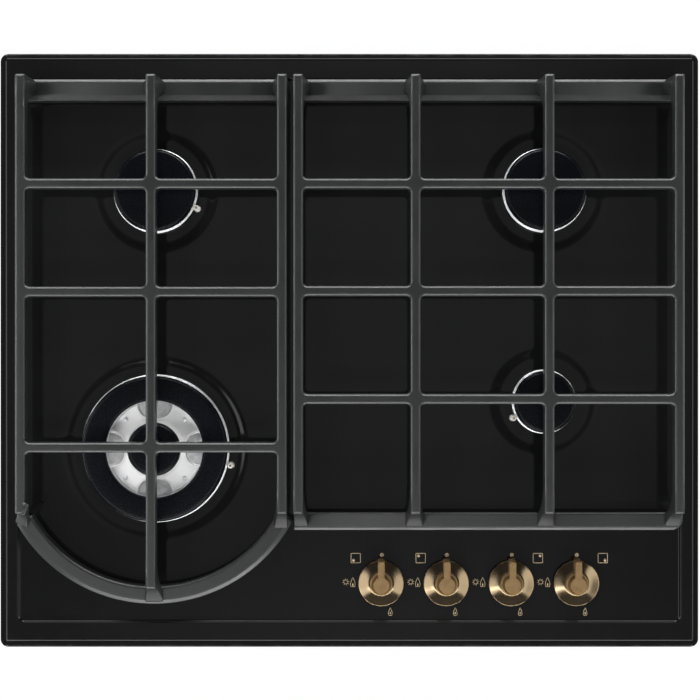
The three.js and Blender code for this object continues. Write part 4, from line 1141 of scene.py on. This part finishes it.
def duct_mouth(t):
    """How far out the flare is, and half its width, from its throat (0) to its mouth (1)."""
    along = t ** 1.5
    return DUCT_START + DUCT_RUN * along, DUCT_HALF * (1 - (1 - along) ** 2.5) ** 0.4 + THROAT_HALF


def duct_edge():
    """The rolled edge of one duct, a rod bent along the flare."""
    stops = [0.96 - 0.04 * i for i in range(25)]
    path = []
    for side, steps in ((-1, stops), (1, stops[::-1])):
        for t in steps:
            reach, half = duct_mouth(t)
            path.append((reach, side * half, CROWN_BASE + 6.7 + DUCT_LIFT * t))
    loops = []
    for i, (px, py, pz) in enumerate(path):
        (ax, ay, _), (bx, by, _) = path[max(0, i - 1)], path[min(len(path) - 1, i + 1)]
        along = Vector((bx - ax, by - ay)).normalized()
        loops.append([(px + across * along.y, py - across * along.x, pz + up)
                      for across, up in circle(0, 0, EDGE_R, 10)])
    return loft("duct_edge", loops)


def duct_part():
    """One duct: a flat-bottomed loft with a rounded side and a hollow between its edges."""
    foot = CROWN_BASE + 3.6
    points = []
    for row in range(DUCT_ROWS + 1):
        t = row / DUCT_ROWS
        reach, half = duct_mouth(t)
        top = CROWN_BASE + 6.8 + DUCT_LIFT * t
        for j in range(DUCT_ACROSS):
            side = -1 + 2 * j / (DUCT_ACROSS - 1)
            inside = (1 - abs(side)) * half
            rounded = math.sqrt(max(0.0, 1 - (1 - min(inside, 1.0)) ** 2))
            hollow = 1.7 * (1 - math.cos(math.pi * min(1.0, max(0.0, (inside - 0.6) / 1.5)))) / 2
            points.append((reach, side * half, foot + (top - foot - hollow) * rounded))
    faces = []
    for row in range(DUCT_ROWS):
        first = row * DUCT_ACROSS
        for a in range(first, first + DUCT_ACROSS - 1):
            faces.append((a, a + DUCT_ACROSS, a + DUCT_ACROSS + 1, a + 1))
        last = first + DUCT_ACROSS - 1
        faces.append((first, last, last + DUCT_ACROSS, first + DUCT_ACROSS))
    faces.append(list(range(DUCT_ACROSS)))
    faces.append([DUCT_ROWS * DUCT_ACROSS + j for j in reversed(range(DUCT_ACROSS))])
    return faces_out(put("duct", mesh_of("duct", points, faces)))


print("ducts flare to", round(2 * duct_mouth(1)[1], 1), "mm")

# %% [markdown]
# ### The whole crown
# The real crown is one casting whose dish is faced bright on a lathe. Three materials meet on it here,
# so it is built of parts with one material each; the ducts' darker one is painted shade. Of its three
# rings of flames only the outermost gets its slots here, because the caps hide the others from above.

# %% Assemble the triple crown
CHANNEL_R = 46
PIP_CIRCLE = 35.4
QUARTER_TURNS = 4


def flame_ring(at):
    """The outer ring, with a channel for gas under the ring cap and slots on its outside."""
    r = BURNERS["front_left"]["radius"]
    floor = CROWN_BASE + 4
    ring = turn("outer_flame_ring", [
        (SILVER_R - 1, CROWN_BASE + 0.4), (r - 1, CROWN_BASE + 0.5), (r, CROWN_BASE + 1.2)] + ring_wall(r) + [
        (r - RING_WALL, floor), (CHANNEL_R, floor), (CHANNEL_R, CROWN_TOP), (SILVER_R + 1.7, CROWN_TOP),
        (SILVER_R + 1.3, CROWN_TOP - 0.4), (SILVER_R + 1.1, floor + 0.4), (SILVER_R - 1, floor - 0.4)],
        at, 160)
    ring.data.materials.append(die_cast)
    return cut_slots(ring, 40, r - SLOT_MIDDLE, (11, 1.4, 9), (at[0], at[1], DISH + CROWN_TOP), die_cast)


def pot_and_silver_ring(at):
    """The inner pot on its spigot, and the faced dish round it with a bead at its edge."""
    spigot = 15.0
    bead = [(SILVER_R + past, CROWN_BASE + height) for past, height in [
        (0, 0.4), (0.9, 2.4), (0.9, 4.6), (0.7, 5.0), (0.2, 5.2), (-0.4, 5.0), (-1.0, 4.4), (-1.6, 4.3)]]
    wall = [(INNER_CAP_R + past, CROWN_BASE + height) for past, height in [
        (2.6, 5.1), (1.6, 5.25), (0.9, 5.9), (0.3, 6.1), (-0.4, 6.3)]]
    return turn("inner_pot", [
        (spigot - 3, SPIGOT_FOOT), (spigot, SPIGOT_FOOT), (spigot, CROWN_BASE)] + bead + [
        (34, CROWN_BASE + 4.5), (27, CROWN_BASE + 4.9)] + wall + [
        (INNER_CAP_R - 1, INNER_TOP), (INNER_CAP_R - 4, INNER_TOP), (INNER_CAP_R - 4, CROWN_BASE + 4),
        (spigot - 3, CROWN_BASE + 4)], at)


def triple_crown():
    """The whole crown: slotted ring, pot, ducts with their edges, and pips."""
    at = (BURNERS["front_left"]["x"], BURNERS["front_left"]["y"], DISH)
    pip = turn("pip", [(radius, CROWN_BASE + height) for radius, height in [
        (0, 4), (1.7, 4), (1.7, 6.2), (1.3, 6.8), (0.6, 7.05), (0, 7.1)]], (PIP_CIRCLE, 0, 0), 20)
    parts = [flame_ring(at), pot_and_silver_ring(at)]
    parts[1].data.materials.append(faced_aluminium)
    # The ducts' dark finish is painted shade inside them. Their edge rods take the bright faced finish, which
    # paints a light line along each edge.
    for part, first, material in ((duct_part(), 0, duct_metal), (duct_edge(), 0, faced_aluminium),
                                  (pip, 45, die_cast)):
        part.data.materials.append(material)
        parts.append(repeated(part, QUARTER_TURNS, first, at, material))
    crown = one_piece("triple_crown", parts)
    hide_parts("front_left_crown")
    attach(crown, "front_left_crown")
    return crown


triple = triple_crown()
print("triple crown faces", len(triple.data.polygons))

# %% [markdown]
# The two caps are turned pieces, a ring and a disc, with a rib below that keeps them on their seats.
# Their edges are rounded by a few close points of the profile, so no bevel is needed.

# %% The triple crown's two caps
def ring_cap():
    """The outer cap, a ring with a rib under it."""
    burner = BURNERS["front_left"]
    inner, top = SILVER_R + 1.8, CROWN_TOP + CAP_HEIGHT
    profile = [(inner, CROWN_TOP + CAP_GAP)] + cap_rib(CHANNEL_R + 3, CROWN_TOP)
    profile += cap_edge(burner["radius"] - 1.25, CROWN_TOP)
    profile += [(inner + 2.2, top), (inner + 1, top - 0.2), (inner + 0.3, top - 0.7), (inner, top - 1.5)]
    cap = turn("ring_cap_enamelled", profile, (burner["x"], burner["y"], DISH), 160)
    cap.data.materials.append(cap_enamel)
    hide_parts("front_left_ring_cap")
    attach(cap, "front_left_ring_cap")


ring_cap()
domed_cap("inner_cap_enamelled", "front_left_inner_cap", "front_left_inner_cap", BURNERS["front_left"],
          INNER_CAP_R, INNER_CAP_R - 4.8, INNER_TOP)
print("caps on")

# %% [markdown]
# ## Spark rods
# Beside each burner stands a glazed ceramic tube with a thin steel pin in it. From above it is a white
# ring with a dark middle.

# %% Spark rods
def spark_rod(place):
    """A ceramic tube with a collar under the plate, and the steel pin in it."""
    at = (*spark_place(BURNERS[place]), DISH)
    tube = turn(place + "_tube", [(0, -20), (3.6, -9.1), (3.6, -5.1), (2.2, -5.1), (2.2, 10.4), (1.9, 10.9),
                                  (1.2, 11), (1.1, 10.2), (0, 10.2)], at, 32)
    tube.data.materials.append(spark_ceramic)
    pin = turn(place + "_pin", [(0, 9), (0.75, 9), (0.75, 13.9), (0.4, 14.2), (0, 14.2)], at, 20)
    pin.data.materials.append(spark_steel)
    rod = one_piece(place + "_spark_rod", [tube, pin])
    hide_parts(place + "_igniter")
    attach(rod, "hob")


for place in PLACES:
    spark_rod(place)
print("spark rods at", [tuple(round(v, 1) for v in spark_place(b)) for b in BURNERS.values()])

# %% [markdown]
# ## Knobs
# Each knob is a wide shallow skirt with a boss, and a keyhole-shaped grip that is also the pointer.
# The skirt is turned and brushed, so it carries the lathe's rings. The boss and the grip are matt. The
# grip is a keyhole outline that narrows towards its top, its edges broken by a small bevel.

# %% Knobs
KNOB_FOOT = 3.6
BOSS_TOP = 12.0
GRIP_FOOT, GRIP_TOP = 5.3, 20.5
GRIP_REACH, GRIP_REACH_TOP = 22.1, 19.9


def keyhole(reach, steps=24):
    """Outline of the grip: a disc with a bar to the rear."""
    disc, half = 6.8, 2.8
    neck = math.asin(half / disc)
    start, end = math.pi / 2 + neck, 2.5 * math.pi - neck
    turns = [start + (end - start) * i / steps for i in range(steps + 1)]
    right = [(half, reach - 1.2), (half - 0.35, reach - 0.35), (half - 1.2, reach)]
    left = [(-x, y) for x, y in reversed(right)]
    return [(disc * math.cos(a), disc * math.sin(a)) for a in turns] + right + left


def knob(place, x):
    """One knob: skirt and boss turned, the grip a loft that narrows towards its top."""
    at = (x, KNOB_Y, RECESS)
    skirt = turn(place + "_skirt", [(radius, KNOB_FOOT + height) for radius, height in [
        (0, 0), (18.9, 0), (19.4, 0.4), (19.4, 1.0), (19.28, 1.18), (19.05, 1.24), (18.8, 1.3), (18.5, 1.4),
        (14.6, 2.7), (11.4, 3.8), (10.2, 4.1), (9, 4.1), (0, 4.1)]], at)
    skirt.data.materials.append(brushed_brass)
    boss_foot = [(0, KNOB_FOOT + 3), (9.6, KNOB_FOOT + 3)]
    boss = turn(place + "_boss", boss_foot + [(radius, BOSS_TOP - drop) for radius, drop in [
        (9.6, 0.5), (9.5, 0.2), (9.25, 0.05), (8.5, 0), (8.1, 0.1), (7.8, 0.35), (7.5, 0.5), (0, 0.5)]], at)
    boss.data.materials.append(matt_brass)
    grip = loft(place + "_grip", [
        [(px + x, py + KNOB_Y, height + RECESS) for px, py in keyhole(reach)]
        for reach, height in ((GRIP_REACH, GRIP_FOOT), (GRIP_REACH_TOP, GRIP_TOP))])
    grip.data.materials.append(matt_brass)
    soften(grip, 0.4, 3)
    piece = one_piece(place + "_dial", [skirt, boss, grip])
    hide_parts(place + "_knob")
    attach(piece, place + "_knob")


for place, x in zip(PLACES, KNOB_X):
    knob(place, x)
print("four knobs, grips point to the rear at", KNOB_Y + GRIP_REACH)

# %% [markdown]
# ## Printed marks
# The plate carries a few plain marks by each knob: a dot for off, a square with a dot that tells which
# burner it is, a tall flame with a spark beside it for large, and a small flame. The spark is a little
# ring with eight rays. A picture on the plate could show them too, but outlines stay sharp at any size
# and need no file, so each mark is drawn as one.

# %% Shapes of the marks
def flame(x, y, width, height, flat_foot=False):
    """Outline of a flame round a middle, anticlockwise: full below and pointed above."""
    half = width / 2
    low = y - height / 2 + half
    if flat_foot:
        lower = [(x - half, low), (x - half * 0.8, low - half), (x + half * 0.8, low - half), (x + half, low)]
    else:
        turns = [math.pi + math.pi * i / 14 for i in range(15)]
        lower = [(x + half * math.cos(a), low + half * math.sin(a)) for a in turns]
    right = [(x + half * (1 - s ** 1.7), low + (height - half) * s) for s in (0.2, 0.4, 0.6, 0.8, 0.93)]
    left = [(2 * x - px, py) for px, py in reversed(right)]
    return lower + right + [(x, low + height - half)] + left


def spark_ray(x, y, turned, start, reach, width):
    """Outline of one ray of a spark."""
    ux, uy = math.cos(turned), math.sin(turned)
    half = width / 2
    return [(x + r * ux - w * uy, y + r * uy + w * ux)
            for r, w in ((start, -half), (reach, -half), (reach, half), (start, half))]


def inner_line(outline, width):
    """The same closed outline, moved inwards."""
    moved = []
    for i, (x, y) in enumerate(outline):
        (ax, ay), (bx, by) = outline[i - 1], outline[(i + 1) % len(outline)]
        along = Vector((bx - ax, by - ay)).normalized()
        moved.append((x - along.y * width, y + along.x * width))
    return moved


class Print:
    """Flat marks, all in one thin mesh."""

    def __init__(self, height):
        self.points, self.faces, self.height = [], [], height

    def area(self, outline):
        """A filled mark."""
        first = len(self.points)
        self.points += [(x, y, self.height) for x, y in outline]
        self.faces.append(list(range(first, first + len(outline))))

    def line(self, outline, width):
        """A line of this width along the inside of an outline."""
        count, first = len(outline), len(self.points)
        self.points += [(x, y, self.height) for x, y in outline + inner_line(outline, width)]
        for i in range(count):
            j = (i + 1) % count
            self.faces.append((first + i, first + j, first + count + j, first + count + i))


print("a flame has", len(flame(0, 0, 3.7, 7.2)), "points round it")

# %% [markdown]
# The marks are fired on as a thin beige layer. They all lie in one mesh, and a solidify modifier gives
# it the few hundredths of a millimetre that the ink stands proud.

# %% Print the marks
INK = 0.03
LINE = 0.42
# Where each mark lies from its knob's axis.
OFF_DOT = (0.8, 23.8)
SQUARE_ON_LEFT, SQUARE_ON_RIGHT = (-21.7, 21.1), (23.2, 21.1)
SQUARE_SIDE, SQUARE_DOT = 8.6, 1.9
SPARK_MARK = (-30.3, 0.6)
TALL_FLAME = (-24.2, 0.6)
SMALL_FLAME = (8.0, -24.9)
BURNER_SIDES = [(-1, -1), (-1, 1), (1, 1), (1, -1)]


def by_knob(knob_x, place):
    """A place beside a knob, on the plate."""
    return knob_x + place[0], KNOB_Y + place[1]


def print_marks():
    """All marks of the four knobs. BURNER_SIDES tells where each knob's burner lies on the hob."""
    marks = Print(RECESS + INK)
    for knob_x, (right, rear) in zip(KNOB_X, BURNER_SIDES):
        marks.area(circle(*by_knob(knob_x, OFF_DOT), 1.75, 24))
        x, y = by_knob(knob_x, SQUARE_ON_RIGHT if right > 0 else SQUARE_ON_LEFT)
        square = rounded_loop(SQUARE_SIDE, SQUARE_SIDE, 0.8, 0, 4)
        marks.line([(x + px, y + py) for px, py in square], 0.5)
        marks.area(circle(x + right * SQUARE_DOT, y + rear * SQUARE_DOT, 1.25, 20))
        x, y = by_knob(knob_x, SPARK_MARK)
        marks.line(circle(x, y, 1.8, 32), 0.34)
        for ray in range(8):
            marks.area(spark_ray(x, y, math.pi * ray / 4 + 0.2, 1.9, 3.0, 0.4))
        x, y = by_knob(knob_x, TALL_FLAME)
        marks.line(flame(x, y, 4.4, 8.4, True), LINE)
        marks.area(flame(x, y - 2.0, 1.2, 2.6))
        x, y = by_knob(knob_x, SMALL_FLAME)
        marks.line(flame(x, y, 3.7, 7.2), LINE)
        marks.area(flame(x, y - 1.0, 1.0, 2.4))
    piece = put("printed_marks", mesh_of("printed_marks", marks.points, marks.faces))
    piece.data.materials.append(scale_print)
    layer = piece.modifiers.new("ink", "SOLIDIFY")
    layer.thickness = INK * MM
    layer.offset = -1
    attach(piece, "hob")
    return piece


printed_marks = print_marks()
print("marks", len(printed_marks.data.polygons), "faces")

# %% [markdown]
# ## Under the plate
# The tray, the seal and the gas parts keep their own solids. They only need the finish of the real
# ones: zinc-coated sheet, foam, rubber, brass, aluminium and moulded plastic.

# %% Finishes for the remaining solids
NODE_FINISH = {
    "rim_seal": seal_foam, "base_tray": zinc_sheet, "tap_rail": zinc_sheet, "gas_manifold": zinc_sheet,
    "gas_inlet": machined_brass, "ignition_module": moulded_plastic, "cable_gland": moulded_plastic,
}
for place in PLACES:
    NODE_FINISH.update({
        place + "_burner_cup": die_cast, place + "_supply_pipe": die_cast, place + "_knob_seal": foot_rubber,
        place + "_tap_spindle": zinc_sheet, place + "_tap_plug": machined_brass,
        place + "_tap_body": machined_brass,
    })
    for side in ("left", "right"):
        NODE_FINISH[f"{side}_support_foot_{place}"] = foot_rubber
for name, material in NODE_FINISH.items():
    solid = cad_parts[name]
    solid.data.materials.clear()
    solid.data.materials.append(material)
print(len(NODE_FINISH), "solids keep their shape and get a finish")

# %% [markdown]
# ## Floor, air and light
# The hob lies on a pale floor that reads as white but keeps a soft shadow. The air of this studio is
# a plain gradient: a bright patch straight overhead, a dim ceiling round it and pale walls. A flat
# glossy plate seen from above mirrors only the patch, while brass and bar edges catch the side lamps.

# %% Seen directly or in a reflection
def seen_ray(tree):
    """1 for rays from the camera and for reflected or refracted ones, otherwise 0."""
    path = tree.nodes.new("ShaderNodeLightPath")
    value = path.outputs["Is Camera Ray"]
    for other in ("Is Glossy Ray", "Is Transmission Ray"):
        either = tree.nodes.new("ShaderNodeMath")
        either.operation = "MAXIMUM"
        tree.links.new(value, either.inputs[0])
        tree.links.new(path.outputs[other], either.inputs[1])
        value = either.outputs[0]
    return value


print("ray switch ready")

# %% [markdown]
# A plain white world would also give a white background, but the shadow would be lost and the hob would
# be lit from all sides. So the floor is a large matt sheet that glows only for rays that come from the
# camera or off a shiny surface, and it still takes a soft shadow.

# %% Floor
FLOOR_REACH = 10000
FLOOR_Z = -0.5
FLOOR_GLOW = 0.86
corner_signs = [(-1, -1), (1, -1), (1, 1), (-1, 1)]
floor_corners = [(x * FLOOR_REACH, y * FLOOR_REACH, FLOOR_Z) for x, y in corner_signs]
pale_floor = put("pale_floor", mesh_of("pale_floor", floor_corners, [(0, 1, 2, 3)]))
floor_paint, tree, shader = finish("floor_paint", (0.86, 0.86, 0.86), 0.9, shine=0.1)
glow = tree.nodes.new("ShaderNodeEmission")
glow.inputs["Strength"].default_value = 1.0
glow.inputs["Color"].default_value = (1, 1, 1, 1)
share = tree.nodes.new("ShaderNodeMath")
share.operation = "MULTIPLY"
share.inputs[1].default_value = FLOOR_GLOW
blend = tree.nodes.new("ShaderNodeMixShader")
tree.links.new(seen_ray(tree), share.inputs[0])
tree.links.new(share.outputs[0], blend.inputs[0])
tree.links.new(shader.outputs[0], blend.inputs[1])
tree.links.new(glow.outputs[0], blend.inputs[2])
tree.links.new(blend.outputs[0], tree.nodes["Material Output"].inputs["Surface"])
pale_floor.data.materials.append(floor_paint)
print("floor", 2 * FLOOR_REACH * MM, "m wide")

# %% [markdown]
# The air is a list of greys by height, from the horizon (0) to straight up (1). A picture of a sky would
# do the same, but a list is easier to tune. The bright patch overhead is a little oblong, so the
# direction is stretched before its height is read.

# %% Air
SKY = [(0.0, 0.5), (0.1, 0.8), (0.3, 0.5), (0.45, 0.06), (0.9, 0.05), (0.96, 0.07), (0.978, 0.15),
       (0.988, 0.32), (1.0, 0.35)]
air = bpy.data.worlds.new("studio_air")
bpy.context.scene.world = air
air.use_nodes = True
tree = air.node_tree
direction = tree.nodes.new("ShaderNodeTexCoord")
oblong = tree.nodes.new("ShaderNodeVectorMath")
oblong.operation = "MULTIPLY"
oblong.inputs[1].default_value = (1.0, 0.8, 1.0)
unit = tree.nodes.new("ShaderNodeVectorMath")
unit.operation = "NORMALIZE"
parts = tree.nodes.new("ShaderNodeSeparateXYZ")
sky = tree.nodes.new("ShaderNodeValToRGB")
ramp = sky.color_ramp.elements
for stop, (height, value) in zip(ramp, (SKY[0], SKY[-1])):
    stop.position, stop.color = height, (value, value, value, 1)
for height, value in SKY[1:-1]:
    ramp.new(height).color = (value, value, value, 1)
tree.links.new(direction.outputs["Generated"], oblong.inputs[0])
tree.links.new(oblong.outputs[0], unit.inputs[0])
tree.links.new(unit.outputs[0], parts.inputs[0])
tree.links.new(parts.outputs["Z"], sky.inputs["Fac"])
tree.links.new(sky.outputs["Color"], tree.nodes["Background"].inputs["Color"])
tree.nodes["Background"].inputs["Strength"].default_value = 1.0
print("air: bright overhead, dim ceiling, pale walls")

# %% [markdown]
# ### Lamps
# A photographer lights black enamel with long soft boxes that stand out of its mirror image. Each lamp
# here is an oblong area lamp that points at the hob. The low ones graze the bevels, and the high ones
# give the line round the rim and the fans on the knobs.

# %% Lamps
LAMPS = {
    "front_lamp": ((0.0, -1.6, 0.5), (2.2, 0.4), 34),
    "rear_lamp": ((0.0, 1.6, 0.5), (2.2, 0.4), 44),
    "low_left_lamp": ((-1.6, 0.0, 0.4), (1.6, 0.25), 14),
    "low_right_lamp": ((1.6, 0.0, 0.4), (1.6, 0.25), 6),
    "high_left_lamp": ((-0.93, -0.2, 1.35), (1.7, 0.45), 6.5),
    "high_right_lamp": ((1.17, -0.2, 1.35), (1.7, 0.45), 5.5),
    "high_front_lamp": ((0.0, -0.71, 1.45), (1.6, 0.2), 6.5),
    "high_rear_lamp": ((0.0, 1.45, 1.25), (2.2, 0.3), 9),
}
LAMP_AIM = Vector((0, 0, 0.05))


def lamp(name, place, size, watts):
    """An oblong area lamp that points at the middle of the hob."""
    light = bpy.data.lights.new(name, "AREA")
    light.shape = "RECTANGLE"
    light.size, light.size_y = size
    light.energy = watts
    piece = bpy.data.objects.new(name, light)
    piece.location = place
    piece.rotation_euler = (LAMP_AIM - Vector(place)).to_track_quat("-Z", "Y").to_euler()
    bpy.context.scene.collection.objects.link(piece)


for name, (place, size, watts) in LAMPS.items():
    lamp(name, place, size, watts)
bpy.context.scene.view_settings.view_transform = "Standard"
print(len(LAMPS), "side lamps")
